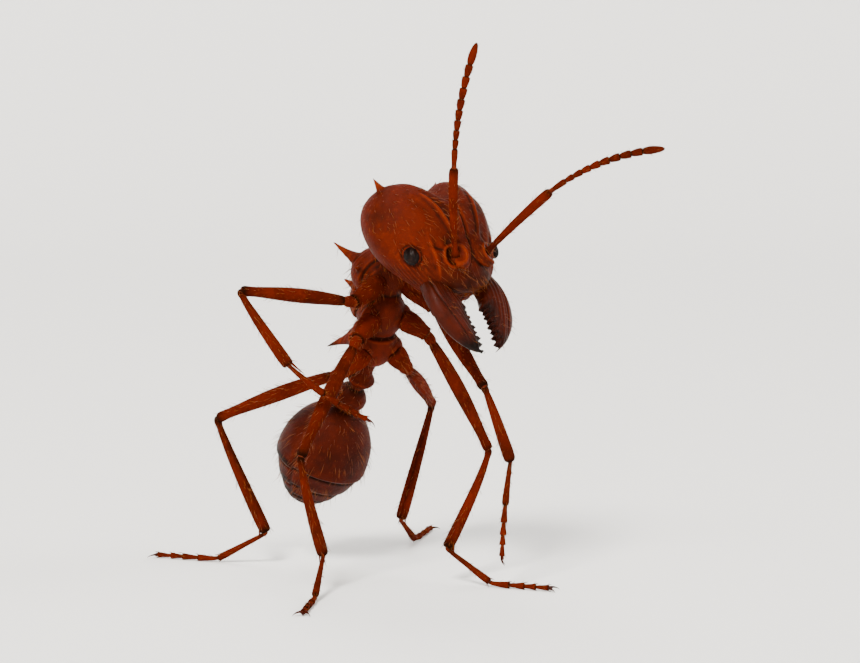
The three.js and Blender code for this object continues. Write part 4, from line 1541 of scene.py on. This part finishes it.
@dataclass
class Leg(SubAssembly):
    """One leg: coxa, trochanter and femur, tibia with its spur, five foot pieces and two claws."""

    foot_shares: ClassVar[Row] = (0.0, 0.46, 0.64, 0.77, 0.87, 0.985)
    foot_tapers: ClassVar[Row] = (1.0, 0.95, 0.92, 0.88, 0.8)
    # each leg and each of its bones adds to the seeds
    limb_coats: ClassVar[tuple[Bristles, ...]] = (
        Bristles(22.0, 0.28, seed=100, thick=0.015, lean=0.48),
        Bristles(85.0, 0.12, seed=104, thick=0.01, lean=0.8),
    )
    foot_coats: ClassVar[tuple[Bristles, ...]] = (
        Bristles(46.0, 0.16, seed=100, thick=0.015, lean=0.48),
        Bristles(150.0, 0.12, seed=104, thick=0.01, lean=0.8),
    )
    templates: Templates
    pair: str
    side_name: str
    coxa_radius: float = 0.42
    trochanter_length: float = 0.4
    trochanter_radius: float = 0.215
    femur_radius: float = 0.3
    tibia_radius: float = 0.23
    foot_radius: float = 0.135
    slimness: float = 0.94  # of the fore and middle legs beside the hind legs
    bow: float = 0.16
    root: Vector = field(init=False)
    hip: Vector = field(init=False)
    knee: Vector = field(init=False)
    ankle: Vector = field(init=False)
    foot: Path = field(init=False)
    pieces: dict[str, Object] = field(default_factory=dict)

    @property
    def name(self) -> str:
        """The leg's name."""
        return f"{self.pair}_{self.side_name}"

    def plan(self) -> None:
        """Works out the joints of the leg and the line of its foot from its stance."""
        sizes, stance, side = LEG_SIZES[self.pair], STANCES[self.name], SIDES[self.side_name]
        x, y, z = sizes.root
        self.root = TRUNK_FRAME @ Vector((side * x, y, z))
        self.hip = self.root + Vector(stance.coxa).normalized() * sizes.coxa
        self.ankle = Vector(stance.ankle) - MIDDLE
        self.knee = knee_of(self.hip, self.ankle, sizes.femur, sizes.tibia, Vector(stance.bend))
        self.foot = self.hanging(sizes.tarsus) if stance.hang else self.standing(sizes.tarsus)

    def hanging(self, length: float) -> Path:
        """The line of a foot that hangs in the air, bent at its middle."""
        first, last = (Vector(way).normalized() for way in STANCES[self.name].hang)
        middle = self.ankle + first * length * 0.5
        return Path.bowed(self.ankle, middle, middle + last * length * 0.5)

    def standing(self, length: float) -> Path:
        """The line of a foot that comes down to its heel and then lies along the floor."""
        turn = math.radians(STANCES[self.name].toes)
        heading = Vector((math.cos(turn), math.sin(turn), 0))

        def over(share: float, height: float) -> Vector:
            """A point a share of the foot's length out, at a height over the floor."""
            return Vector((self.ankle.x, self.ankle.y, height)) + heading * share * length

        heel = over(0.415, 0.175)
        shank = [self.ankle.lerp(heel, share) for share in (0.0, 0.45, 0.9)]
        return Path.through([*shank, over(0.46, 0.14), over(0.76, 0.125), over(0.97, 0.12)])

    def build(self) -> None:
        """Lays every form along its bone."""
        self.plan()
        root, hip, knee, ankle = self.root, self.hip, self.knee, self.ankle
        thigh_way, shin_way = (knee - hip).normalized(), (ankle - knee).normalized()
        out = (thigh_way - shin_way).normalized() * self.bow
        coxa = Path.bowed(root, root.lerp(hip, 0.5) - thigh_way * 0.1, hip)
        femur = Path.bowed(hip, hip.lerp(knee, 0.5) + out, knee)
        neck = [knee - thigh_way * 0.14, knee + shin_way * 0.12]
        shin = [knee.lerp(ankle, share) + out * rise for share, rise in ((0.3, 0.5), (0.65, 0.4))]
        tibia = Path.through([*neck, *shin, ankle])
        up = tuple(thigh_way.cross(shin_way))
        slim = 1.0 if self.pair == "hind" else self.slimness
        reach = self.trochanter_length / femur.length
        lay, name = self.templates.lay, self.name
        self.pieces["coxa"] = lay("coxa", f"{name}_coxa_shell", coxa, self.coxa_radius, up=up)
        span = (-0.02, reach)
        trochanter = lay("trochanter", "trochanter", femur, self.trochanter_radius, span=span, up=up)
        span = (reach * 0.8, 0.985)
        thigh = lay("femur", "femur", femur, self.femur_radius * slim, span=span, up=up)
        self.pieces["femur"] = joined(f"{name}_femur_shell", [thigh, trochanter])
        shank = lay("tibia", "tibia", tibia, self.tibia_radius * slim, span=(0.01, 0.99), up=up)
        self.pieces["tibia"] = joined(f"{name}_tibia_shell", [shank, *self.spurs(tibia, up)])
        self.pieces["tarsus"] = joined(f"{name}_foot_shell", self.toes(up))
        self.pieces["claws"] = joined(f"{name}_claws", self.claws())
        self.pieces["skin"] = joined(f"{name}_joint_skin", self.skins(coxa, femur, tibia))

    def toes(self, up: Sequence[float]) -> list[Object]:
        """The five pieces of the foot, each with a pair of short bristles at its end."""
        found = []
        for start, end, taper in zip(self.foot_shares, self.foot_shares[1:], self.foot_tapers):
            radius, span = self.foot_radius * taper, (start + 0.004, end + 0.008)
            found.append(self.templates.lay("tarsomere", "toe", self.foot, radius, span=span, up=up))
            tip, way = self.foot.point(end - 0.01), self.foot.way(end)
            aside = way.cross(Vector(up)).normalized() * radius * 0.8
            for turn in (-1, 1):
                line = Path.straight(tip + aside * turn, tip + aside * turn * 1.5 + way * 0.17)
                found.append(self.templates.lay("spur", "toe_bristle", line, 0.018))
        return found

    def spurs(self, tibia: Path, up: Sequence[float]) -> list[Object]:
        """The spurs at the end of the tibia: a long one on a fore leg, which cleans the feeler."""
        way = tibia.way(1.0)
        inner = (self.foot.way(0.1) + self.foot.way(0.4) - way * 1.4).normalized()
        start = self.ankle - way * 0.16 + inner * 0.14
        length, turns = (0.62, (1,)) if self.pair == "fore" else (0.4, (1, -1))
        found = []
        for turn in turns:
            aside = Vector(up).normalized() * 0.08 * turn
            end = start + (way * 0.85 + inner * 0.35).normalized() * length + aside * 2
            path = Path.bowed(start + aside, start + aside + inner * 0.1 + way * length * 0.5, end)
            found.append(self.templates.lay("spur", "spur", path, 0.045))
        return found

    def claws(self) -> list[Object]:
        """Two hooked claws and the soft pad between them."""
        tip, way = self.foot.point(0.985), self.foot.way(0.97)
        standing = not STANCES[self.name].hang
        down = Vector((0, 0, -1))
        if not standing:
            down = self.foot.way(1.0) - self.foot.way(0.5) + Vector((0, 0, -0.6))
        down = squared(down, way)
        aside = way.cross(down).normalized()
        depth = tip.z - 0.03 if standing else 0.13
        found = []
        for turn in (-1, 1):
            knuckle = tip + way * 0.2 + aside * turn * 0.2 - down * 0.05
            end = tip + way * 0.34 + aside * turn * 0.3 + down * depth
            path = Path.bowed(tip - way * 0.02, knuckle + aside * turn * 0.03, end)
            found.append(self.templates.lay("claw", "claw", path, 0.05))
        pad = Path.straight(tip - way * 0.02, tip + way * 0.16 + down * 0.03)
        return [*found, self.templates.lay("pad", "pad", pad, 0.06)]

    def skins(self, coxa: Path, femur: Path, tibia: Path) -> list[Object]:
        """The soft skin inside each joint, bent through it."""
        spots = (
            (coxa.point(-0.12), self.root, coxa.point(0.12), 0.3),
            (coxa.point(0.93), self.hip, femur.point(0.03), 0.2),
            (femur.point(0.95), self.knee, tibia.point(0.06), 0.13),
            (tibia.point(0.985), self.ankle, self.foot.point(0.03), 0.088),
        )
        return [
            self.templates.lay("skin", "skin", Path.bowed(start, middle, end), radius)
            for start, middle, end, radius in spots
        ]

    def dress(self) -> None:
        """Grows the hairs along the leg and hands all its pieces over."""
        ends = (self.root, self.hip, self.knee, self.ankle, self.foot.point(1.0))
        parts = ("coxa", "femur", "tibia", "tarsus")
        first = 10 * list(STANCES).index(self.name)
        hairs = []
        for row, (part, start, end) in enumerate(zip(parts, ends, ends[1:])):
            unwrap, way = Unwrap(start, end, row, len(parts)), (end - start).normalized()
            for coat in self.foot_coats if part == "tarsus" else self.limb_coats:
                seeded = replace(coat, seed=coat.seed + first + row)
                hairs.append(seeded.grow(self.pieces[part], unwrap, way, self.off_floor))
        fur = joined(f"{self.name}_bristles", hairs)
        for part in parts:
            self.hand_over(self.pieces[part], LIMB_CUTICLE, f"{self.name}_{part}")
        self.hand_over(self.pieces["claws"], MANDIBLE_GLOSS)
        self.hand_over(self.pieces["skin"], JOINT_SKIN)
        self.hand_over(fur, GOLDEN_HAIR)

    @staticmethod
    def off_floor(points: Points, normals: Points) -> Points:
        """Keeps hairs off what stands on the floor."""
        return smoothstep(points[:, 2] + normals[:, 2] * 0.1, 0.02, 0.14)


@dataclass
class Feeler(SubAssembly):
    """One antenna: the scape from the head to the elbow, and ten beads that end in a long one."""

    # the scape's way and bow, and the ways of both halves of the whip
    ways: ClassVar[dict[str, tuple[Triple, ...]]] = {
        "right": ((-0.18, -0.27, 1), (-0.09, 0, 0), (-0.03, -0.1, 1), (0.24, -0.24, 0.95)),
        "left": ((0.5, -0.58, 0.72), (-0.04, 0.03, 0.08), (0.64, -0.49, 0.6), (0.82, -0.59, 0.08)),
    }
    coats: ClassVar[dict[str, tuple[Bristles, ...]]] = {
        "scape": (
            Bristles(24.0, 0.26, seed=325, thick=0.015, lean=0.55),
            Bristles(90.0, 0.1, seed=391, thick=0.01, lean=0.75),
        ),
        "whip": (
            Bristles(26.0, 0.17, seed=337, thick=0.012, lean=0.5),
            Bristles(150.0, 0.08, seed=461, thick=0.008, lean=0.7),
        ),
    }
    templates: Templates
    head: Head
    side_name: str
    scape_length: float = 3.1
    whip_length: float = 4.1
    scape_radius: float = 0.165
    whip_radius: float = 0.145
    beads: int = 10
    shaft: Path = field(init=False)
    whip: Path = field(init=False)
    pieces: dict[str, Object] = field(default_factory=dict)

    def plan(self) -> None:
        """Works out the lines of the scape and the whip."""
        scape_way, bow, first, last = (Vector(way) for way in self.ways[self.side_name])
        scape_way.normalize()
        seat = HEAD_FRAME @ self.head.seat(SIDES[self.side_name])
        elbow = seat + scape_way * self.scape_length
        turn = elbow + first.normalized() * self.whip_length / 2
        tip = turn + last.normalized() * self.whip_length / 2
        self.shaft = Path.bowed(seat - scape_way * 0.1, seat.lerp(elbow, 0.45) + bow, elbow)
        self.whip = Path.bowed(elbow, turn, tip)

    def build(self) -> None:
        """Lays the scape and the beads along their lines."""
        self.plan()
        lay, side = self.templates.lay, self.side_name
        span = (0.0, 0.985)
        self.pieces["scape"] = lay("scape", f"scape_{side}", self.shaft, self.scape_radius, span=span)
        sizes = np.array([1.5, *np.linspace(0.8, 1.05, self.beads - 2), 2.0])
        stops = np.concatenate([[0.0], np.cumsum(sizes / sizes.sum())])
        found = []
        for number, (start, end) in enumerate(zip(stops, stops[1:])):
            form = "last_bead" if number == self.beads - 1 else "bead"
            radius = self.whip_radius * lerp(0.8, 1.0, smoothstep(number / self.beads, 0.0, 0.6))
            found.append(lay(form, "bead", self.whip, radius, span=(start + 0.004, end + 0.006)))
        self.pieces["whip"] = joined(f"funiculus_{side}", found)
        elbow_skin = Path.bowed(self.shaft.point(0.97), self.shaft.point(1.0), self.whip.point(0.03))
        root_skin = Path.straight(self.shaft.point(-0.05), self.shaft.point(0.07))
        skins = [lay("skin", "skin", elbow_skin, 0.1), lay("skin", "skin", root_skin, 0.16)]
        self.pieces["skin"] = joined(f"feeler_skin_{side}", skins)

    def dress(self) -> None:
        """Grows the hairs, close and short on the whip, and hands the pieces over."""
        side = self.side_name
        hairs = []
        for row, (part, path) in enumerate((("scape", self.shaft), ("whip", self.whip))):
            unwrap = Unwrap(path.point(0), path.point(1), row, 2)
            for coat in self.coats[part]:
                seeded = replace(coat, seed=coat.seed + SIDES[side])
                hairs.append(seeded.grow(self.pieces[part], unwrap, path.way(0.5)))
        fur = joined(f"feeler_bristles_{side}", hairs)
        self.hand_over(self.pieces["scape"], LIMB_CUTICLE, f"antenna_{side}_scape")
        self.hand_over(self.pieces["whip"], LIMB_CUTICLE, f"antenna_{side}_funiculus")
        self.hand_over(self.pieces["skin"], JOINT_SKIN)
        self.hand_over(fur, GOLDEN_HAIR)


@dataclass
class Trunk(SubAssembly):
    """The trunk as one skin with its seams cut in, and the neck at its origin: +Y back, +Z top."""

    home: ClassVar[Matrix] = TRUNK_FRAME
    lumps: ClassVar[tuple[tuple[Triple, Triple], ...]] = (
        ((0, 1.28, 0.08), (1.1, 0.94, 0.96)),
        ((0, 1.15, -0.42), (0.68, 0.84, 0.62)),
        ((0, 2.42, 0.2), (0.86, 0.96, 0.93)),
        ((0, 2.55, -0.4), (0.82, 1.03, 0.82)),
        ((0, 3.86, -0.05), (0.73, 0.94, 0.76)),
        ((0, 3.75, -0.48), (0.78, 0.88, 0.58)),
    )
    # the root, way, length, radius and lean of each spine
    spine_plans: ClassVar[tuple[tuple[Triple, Triple, float, float, Triple], ...]] = (
        ((0.78, 0.98, 0.62), (0.8, -0.3, 0.62), 0.95, 0.25, (0, -0.16, 0.06)),
        ((0.98, 1.05, -0.05), (0.8, -0.4, -0.35), 0.36, 0.17, (0, 0, 0)),
        ((0.42, 2.2, 0.92), (0.42, -0.1, 0.9), 0.6, 0.23, (0, 0, 0)),
        ((0.3, 2.86, 0.92), (0.3, 0.3, 0.9), 0.16, 0.14, (0, 0, 0)),
        ((0.42, 4.05, 0.55), (0.42, 0.55, 0.75), 1.1, 0.25, (0, 0.14, 0)),
    )
    collar: ClassVar[Profile] = (
        (0, 0.74), (0.05, 0.9), (0.12, 0.92), (0.2, 0.86), (0.45, 1.1), (0.75, 1.5), (1, 1.8),
    )
    fold: ClassVar[Profile] = ((0.0, 0.8), (0.04, 1.0), (0.12, 1.03), (0.19, 0.94))
    folds: int = 5
    skin: Object = field(init=False)
    neck: Object = field(init=False)

    def spines(self, side: int) -> list[Object]:
        """The spines of one side: two on the shoulder, two in the middle and a long one behind."""
        found = []
        for (x, y, z), (a, b, c), length, radius, lean in self.spine_plans:
            root, way = Vector((side * x, y, z)), Vector((side * a, b, c))
            found.append(spine("spine", root, way, length, radius, Vector(lean)))
        return found

    def build(self) -> None:
        """Models the skin: balls and spines grown together, then the seams cut in."""
        parts = [ball("lump", centre, radii) for centre, radii in self.lumps]
        parts.append(ball("scutellum", (0, 3.02, 0.8), (0.42, 0.26, 0.24)))
        front = Path.straight(Vector((0, -0.12, 0)), Vector((0, 0.9, -0.05)))
        parts.append(lay_along(turned("collar", self.collar), front, 0.35))
        for side in SIDES.values():
            parts += self.spines(side)
            parts.append(ball("gland_swelling", (side * 0.62, 4.1, -0.5), (0.24, 0.3, 0.2)))
            for sizes in LEG_SIZES.values():
                x, y, z = sizes.root
                parts.append(ball("leg_socket", (side * (x + 0.06), y, z + 0.08), (0.42, 0.46, 0.3)))
        self.skin = fused(joined("trunk_skin", parts), BODY_VOXEL, smoothing=6)
        emboss(self.skin, self.relief)
        mark_hollows(self.skin)
        _, y, z = points_of(self.skin).T
        tips = smoothstep(z, 1.25, 1.9) + smoothstep(y + z, 5.1, 5.7)
        mark(self.skin, "joint", tips * 0.55 + 0.6 * (1 - smoothstep(y, 0.0, 0.4)))
        self.build_neck()

    def build_neck(self) -> None:
        """Models the ringed skin of the neck."""
        rings = [
            (start / self.folds + rise, radius)
            for start in range(self.folds)
            for rise, radius in self.fold
        ]
        self.neck = turned("neck_skin", [*rings, (1, 0.8)])
        mark_hollows(self.neck, rounds=5)
        bend = Path.bowed(Vector((0, 0.1, 0)), NECK_BEND, HEAD_TO_TRUNK @ NECK_ROOT)
        lay_along(self.neck, bend, NECK_RADIUS)

    def relief(self, points: Points, normals: Points) -> Points:
        """The seams between the plates, the breathing holes and the fine ridges.

        Args:
            points: The vertices.
            normals: Their normals.

        Returns:
            The height of each vertex over the plain form.
        """
        x, y, z = np.abs(points[:, 0]), points[:, 1], points[:, 2]
        side = smoothstep(np.abs(normals[:, 0]), 0.25, 0.6)
        top = smoothstep(normals[:, 2], 0.2, 0.6)
        # the seams round the trunk and along its sides, and the furrow and ridges of its back
        height = -0.12 * hill(y, 1.9 - 0.12 * z + 0.06 * np.cos(x * 3), 0.06) * (z > -0.75)
        height -= 0.11 * hill(y, 3.2 - 0.14 * z, 0.06)
        height -= 0.08 * hill(z, -0.1 + 0.45 * (y - 2.5), 0.055) * window(y, 1.98, 3.1, 0.06) * side
        height -= 0.07 * hill(z, -0.32, 0.06) * window(y, 0.4, 1.8, 0.1) * side
        height -= 0.08 * hill(z, -0.12 - 0.5 * (y - 3.9), 0.055) * window(y, 3.3, 4.5, 0.1) * side
        height -= 0.05 * hill(x, 0, 0.06) * window(y, 2.1, 2.8, 0.1) * top
        height += 0.05 * hill(x, 0.42 + 0.06 * np.sin(y * 3), 0.08) * window(y, 3.35, 4.0, 0.15) * top
        # the breathing holes, each in a raised ring
        for back, high, radius in ((3.78, 0.12, 0.13), (1.98, 0.42, 0.1), (4.3, -0.52, 0.1)):
            away = np.hypot(y - back, z - high)
            height += (0.06 * hill(away, radius, 0.035) - 0.1 * hill(away, 0, radius * 0.6)) * side
        ridges = 0.005 * np.sin(z * 34 + 5 * np.sin(y * 2.2)) * side
        grooves = 0.004 * np.sin(y * 30 + 2 * np.sin(x * 5)) * top
        return height + ridges + grooves

    def dress(self) -> None:
        """Grows the hairs and hands the skin over for the three solids of the trunk."""
        unwrap = Unwrap(Vector((0, -0.3, 0)), Vector((0, 5.0, 0)))
        hairs = [
            coat.grow(self.skin, unwrap, (0.0, 1.0, -0.2), self.behind_collar)
            for coat in (
                Bristles(15.0, 0.4, seed=31, lean=0.45),
                Bristles(38.0, 0.13, seed=32, thick=0.01, lean=0.8),
            )
        ]
        fur = joined("trunk_bristles", hairs)
        self.hand_over(self.skin, BODY_CUTICLE, "pronotum", "mesothorax", "propodeum")
        self.hand_over(self.neck, JOINT_SKIN)
        self.hand_over(fur, GOLDEN_HAIR)

    @staticmethod
    def behind_collar(points: Points, normals: Points) -> Points:
        """Few hairs below, and none on the collar."""
        flank = lerp(0.35, 1.0, smoothstep(normals[:, 2], -0.2, 0.5))
        return flank * smoothstep(points[:, 1], 0.1, 0.4)


@dataclass
class Abdomen(SubAssembly):
    """The two waist pieces and the gaster, in a chain from the end of the trunk."""

    # of the petiole, the postpetiole and the gaster
    ways: ClassVar[tuple[Triple, ...]] = (
        (-0.1, 0.62, -0.78), (-0.16, 0.6, -0.78), (-0.22, 0.42, -0.88),
    )
    up: ClassVar[Triple] = (0.0, 1.0, 0.6)
    petiole_profile: ClassVar[Profile] = (
        (0, 0.26), (0.12, 0.3), (0.3, 0.27), (0.46, 0.34), (0.6, 0.53), (0.72, 0.55), (0.86, 0.36),
        (0.98, 0.3),
    )
    post_profile: ClassVar[Profile] = (
        (0.02, 0.3), (0.14, 0.42), (0.35, 0.6), (0.55, 0.64), (0.75, 0.55), (0.9, 0.42), (1.0, 0.38),
    )
    folds: ClassVar[Profile] = ((0, 0.8), (0.2, 1.0), (0.4, 0.85), (0.6, 1.0), (0.8, 0.85), (1, 0.9))
    fold_radii: ClassVar[Row] = (0.25, 0.25, 0.34)
    plate_ends: ClassVar[Row] = (0.61, 0.785, 0.9, 0.965)
    petiole_length: float = 1.25
    post_length: float = 0.95
    length: float = 4.1
    width: float = 3.3
    depth: float = 3.1
    joints: list[Vector] = field(default_factory=list)
    petiole: Object = field(init=False)
    postpetiole: Object = field(init=False)
    gaster: Object = field(init=False)
    skins: Object = field(init=False)

    def build(self) -> None:
        """Models the waist pieces, the gaster and the skins between them."""
        petiole, post, gaster = (Vector(way).normalized() for way in self.ways)
        start = TRUNK_FRAME @ Vector((0, 4.5, -0.3))
        middle = start + petiole * self.petiole_length
        end = middle + post * self.post_length
        self.joints = [start, middle, end]
        self.petiole = self.waist_piece(
            "petiole_shell", Path.straight(start, middle), self.petiole_profile, crown=0.68, tooth=0.2
        )
        line = Path.straight(middle, end + gaster * 0.12)
        self.postpetiole = self.waist_piece(
            "postpetiole_shell", line, self.post_profile, crown=0.5, tooth=0.1
        )
        self.gaster = self.gaster_plates()
        ways = [TRUNK_TURN.to_3x3().col[1], petiole, post, gaster]
        skins = []
        for joint, before, after, radius in zip(self.joints, ways, ways[1:], self.fold_radii):
            path = Path.bowed(joint - before * 0.16, joint, joint + after * 0.16)
            skins.append(lay_along(turned("waist_skin", self.folds), path, radius))
        self.skins = joined("waist_joint_skin", skins)

    def waist_piece(self, name: str, path: Path, profile: Profile, crown: float, tooth: float) -> Object:
        """One waist piece: a turned bar with a raised node and a pair of teeth on top.

        Args:
            name: Its name.
            path: Its line.
            profile: Its shape along the line, with true radii.
            crown: Where along the line the teeth stand.
            tooth: How far the teeth stand out.

        Returns:
            The mesh object.
        """
        bar = lay_along(turned(name + "_bar", profile, sides=20), path, 1.0, up=self.up)
        way = path.way(0.5)
        top = squared(Vector(self.up), way)
        aside = way.cross(top)
        parts = [bar]
        for side in SIDES.values():
            root = path.point(crown) + top * 0.4 + aside * side * 0.27
            parts.append(spine("tooth", root, top + aside * side * 0.6, tooth + 0.08, 0.15))
        piece = fused(joined(name, parts), FINE_VOXEL, smoothing=5)

        def relief(points: Points, normals: Points) -> Points:
            """Fine ridges round the piece, and a groove along each side."""
            local = points - np.array(path.point(0))
            along, high, out = (local @ np.array(axis) for axis in (way, top, aside))
            out = np.abs(out)
            ridges = 0.005 * np.sin(along * 30 + 3 * np.sin(out * 6))
            groove = 0.05 * hill(high, -0.05, 0.05) * window(along / path.length, 0.15, 0.85)
            return ridges - groove * (out > 0.2)

        emboss(piece, relief)
        mark_hollows(piece)
        local = (points_of(piece) - np.array(path.point(0))) @ np.array(way) / path.length
        mark(piece, "joint", 0.7 * np.maximum(hill(local, 0, 0.12), hill(local, 1, 0.12)))
        return piece

    def gaster_plates(self) -> Object:
        """The gaster along +Y: a ball drawn to its plates, each with a lip over the next."""
        deselect()
        bpy.ops.mesh.primitive_uv_sphere_add(
            segments=104, ring_count=160, radius=1, rotation=(-math.pi / 2, 0, 0)
        )
        obj = renumber(settled("gaster_plates"))
        x, y, z = points_of(obj).T
        along, angle, ring = (1 + y) / 2, np.arctan2(x, z), np.hypot(x, z)
        taper = lerp(1.04, 0.78, smoothstep(along, 0.45, 1.0)) * 0.985
        below = smoothstep(np.abs(angle), 1.9, 2.05)
        shifted = along + 0.035 * below + 0.006 * np.cos(angle * 2)
        lip = np.zeros_like(along)
        for end in self.plate_ends:
            rise = 0.034 * smoothstep(shifted, end - 0.12, end - 0.004)
            lip += rise * (1 - smoothstep(shifted, end - 0.004, end + 0.003))
            lip -= 0.03 * hill(shifted, end + 0.012, 0.01)
        seam = hill(np.abs(angle), 1.97, 0.035) * window(along, 0.12, 0.94, 0.05)
        dents = np.sin(9 * x + 2 * np.sin(7 * along)) * np.sin(16 * along + 3 * np.sin(4 * z))
        swell = 1 + lip / np.maximum(0.3, ring) - 0.035 * seam + 0.004 * dents
        across, high = x * self.width / 2 * taper * swell, z * self.depth / 2 * taper * swell
        move_points(obj, np.stack([across, along * self.length, high], axis=1))
        shaped(obj, "SUBSURF", levels=1, render_levels=1)
        mark_hollows(obj, rounds=5, depth=0.01)
        along = np.clip(points_of(obj)[:, 1] / self.length, 0, 1)
        dark = sum(window(along, end - 0.05, end - 0.002, 0.014) * 0.8 for end in self.plate_ends)
        mark(obj, "joint", dark + 0.5 * smoothstep(along, 0.75, 1.0) + 0.4 * hill(along, 0, 0.06))
        return obj

    def gaster_frame(self) -> Matrix:
        """The turn and the place that bring the gaster behind the waist."""
        heading = Vector(self.ways[2]).normalized()
        top = squared(Vector(self.up).normalized(), heading)
        turn = Matrix((heading.cross(top), heading, top)).transposed().to_4x4()
        return Matrix.Translation(self.joints[2]) @ turn

    def dress(self) -> None:
        """Grows the hairs and hands the pieces over."""
        unwrap = Unwrap(Vector((0, 0, 0)), Vector((0, self.length, 0)))
        hairs = [
            coat.grow(self.gaster, unwrap, (0.0, 1.0, 0.0))
            for coat in (
                Bristles(11.0, 0.42, seed=41, lean=0.5),
                Bristles(40.0, 0.14, seed=42, thick=0.01, lean=0.8),
            )
        ]
        fur, frame_of_gaster = joined("gaster_bristles", hairs), self.gaster_frame()
        for obj in (self.gaster, fur):
            obj.data.transform(frame_of_gaster)
        self.hand_over(self.gaster, GASTER_CUTICLE, "gaster_front", "gaster_rear")
        self.hand_over(fur, GOLDEN_HAIR)
        hairs = []
        pieces = (self.petiole, self.postpetiole)
        for row, (piece, start, end) in enumerate(zip(pieces, self.joints, self.joints[1:])):
            coat = Bristles(18.0, 0.34, seed=51 + row, lean=0.45)
            hairs.append(coat.grow(piece, Unwrap(start, end, row, 2), (end - start).normalized()))
        self.hand_over(self.petiole, BODY_CUTICLE, "petiole")
        self.hand_over(self.postpetiole, BODY_CUTICLE, "postpetiole")
        self.hand_over(joined("waist_bristles", hairs), GOLDEN_HAIR)
        self.hand_over(self.skins, JOINT_SKIN)


# ------------ studio


@dataclass
class Studio:
    """The pale floor with its soft rise, the lamps and the camera. Its measures are in millimetres."""

    # the name, place, size, power and colour of each lamp
    lamp_plans: ClassVar[tuple[tuple[str, Triple, float, float, Triple], ...]] = (
        ("key_lamp", (-260, -210, 350), 120, 4.9, (1.0, 0.96, 0.9)),
        ("fill_lamp", (330, -260, 220), 260, 2.1, (1.0, 0.98, 0.95)),
        ("top_lamp", (60, 210, 420), 260, 1.4, (1.0, 0.98, 0.95)),
    )
    azimuth: float = -30.0
    elevation: float = 6.0
    lens: float = 100.0
    distance: float = 82.6
    aim: Triple = (1.15, -0.68, 8.7)
    floor_radius: float = 150.0
    rise: float = 130.0
    rise_steps: int = 20

    def build(self) -> None:
        """Sets up the studio."""
        self.floor()
        self.lamps()
        self.camera()

    def floor(self) -> None:
        """A round floor whose rim rises in a soft curve to a low wall."""
        deselect()
        floor, rise = self.floor_radius, self.rise
        bpy.ops.mesh.primitive_circle_add(vertices=96, radius=floor * MM, fill_type="NGON")
        obj = settled("studio_floor")
        turns = [math.pi / 2 * step / self.rise_steps for step in range(self.rise_steps + 1)]
        curve = [(floor + rise * math.sin(turn), rise * (1 - math.cos(turn))) for turn in turns]
        curve.append((floor + rise, rise * 1.05))
        with editing(obj):
            for (inner, low), (outer, high) in zip(curve, curve[1:]):
                step_up = {"value": (0, 0, (high - low) * MM)}
                bpy.ops.mesh.extrude_region_move(TRANSFORM_OT_translate=step_up)
                bpy.ops.transform.resize(value=(outer / inner, outer / inner, 1))
            bpy.ops.mesh.delete(type="ONLY_FACE")
            bpy.ops.mesh.select_all(action="SELECT")
            bpy.ops.mesh.flip_normals()
            bpy.ops.mesh.select_all(action="DESELECT")
        obj.data.shade_smooth()
        obj.data.materials.append(FLOOR_PAPER.material())
        obj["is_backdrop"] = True

    def lamps(self) -> None:
        """A large soft key, a fill, a lamp above the back and a pale surround."""
        aim = Vector((0, 0, 9)) * MM
        for name, place, size, power, colour in self.lamp_plans:
            data = bpy.data.lights.new(name, "AREA")
            data.energy, data.size, data.color = power, size * MM, colour
            obj = bpy.data.objects.new(name, data)
            obj.location = Vector(place) * MM
            obj.rotation_euler = (aim - obj.location).to_track_quat("-Z", "Y").to_euler()
            bpy.context.scene.collection.objects.link(obj)
        world = bpy.data.worlds.new("soft_surround")
        world.use_nodes = True
        surround = world.node_tree.nodes["Background"].inputs
        surround[0].default_value = (1.0, 0.98, 0.95, 1.0)
        surround[1].default_value = 0.2
        bpy.context.scene.world = world

    def camera(self) -> None:
        """The camera, which looks at the aim from its azimuth and elevation."""
        turn, rise = math.radians(self.azimuth), math.radians(self.elevation)
        level = math.cos(rise)
        back = Vector((math.sin(turn) * level, -math.cos(turn) * level, math.sin(rise)))
        data = bpy.data.cameras.new("camera")
        data.lens, data.sensor_width = self.lens, 36.0
        data.clip_start, data.clip_end = self.distance * 0.1 * MM, self.distance * 20 * MM
        obj = bpy.data.objects.new("camera", data)
        obj.location = (Vector(self.aim) + back * self.distance) * MM
        obj.rotation_euler = (-back).to_track_quat("-Z", "Y").to_euler()
        bpy.context.scene.collection.objects.link(obj)
        bpy.context.scene.camera = obj


def corners(box: tuple[Vector, Vector]) -> list[list[float]]:
    """A box as plain lists of numbers."""
    return [list(corner) for corner in box]


def main() -> None:
    """Builds the ant piece by piece, then the studio."""
    logging.basicConfig(level=logging.INFO, format="%(name)s: %(message)s")
    solids_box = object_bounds()
    templates = Templates()
    templates.build()
    head = Head()
    parts: list[SubAssembly] = [head]
    parts += [Eye(head, side) for side in SIDES]
    parts += [Mandible(side) for side in SIDES]
    parts.append(Mouthparts(templates))
    parts += [Feeler(templates, head, side) for side in SIDES]
    parts += [Trunk(), Abdomen()]
    parts += [Leg(templates, pair, side) for pair in LEG_SIZES for side in SIDES]
    for part in parts:
        part.build()
        part.dress()
    templates.clear()
    Studio().build()
    {"cad": corners(solids_box), "visual": corners(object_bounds())}


if __name__ == "__main__":
    main()
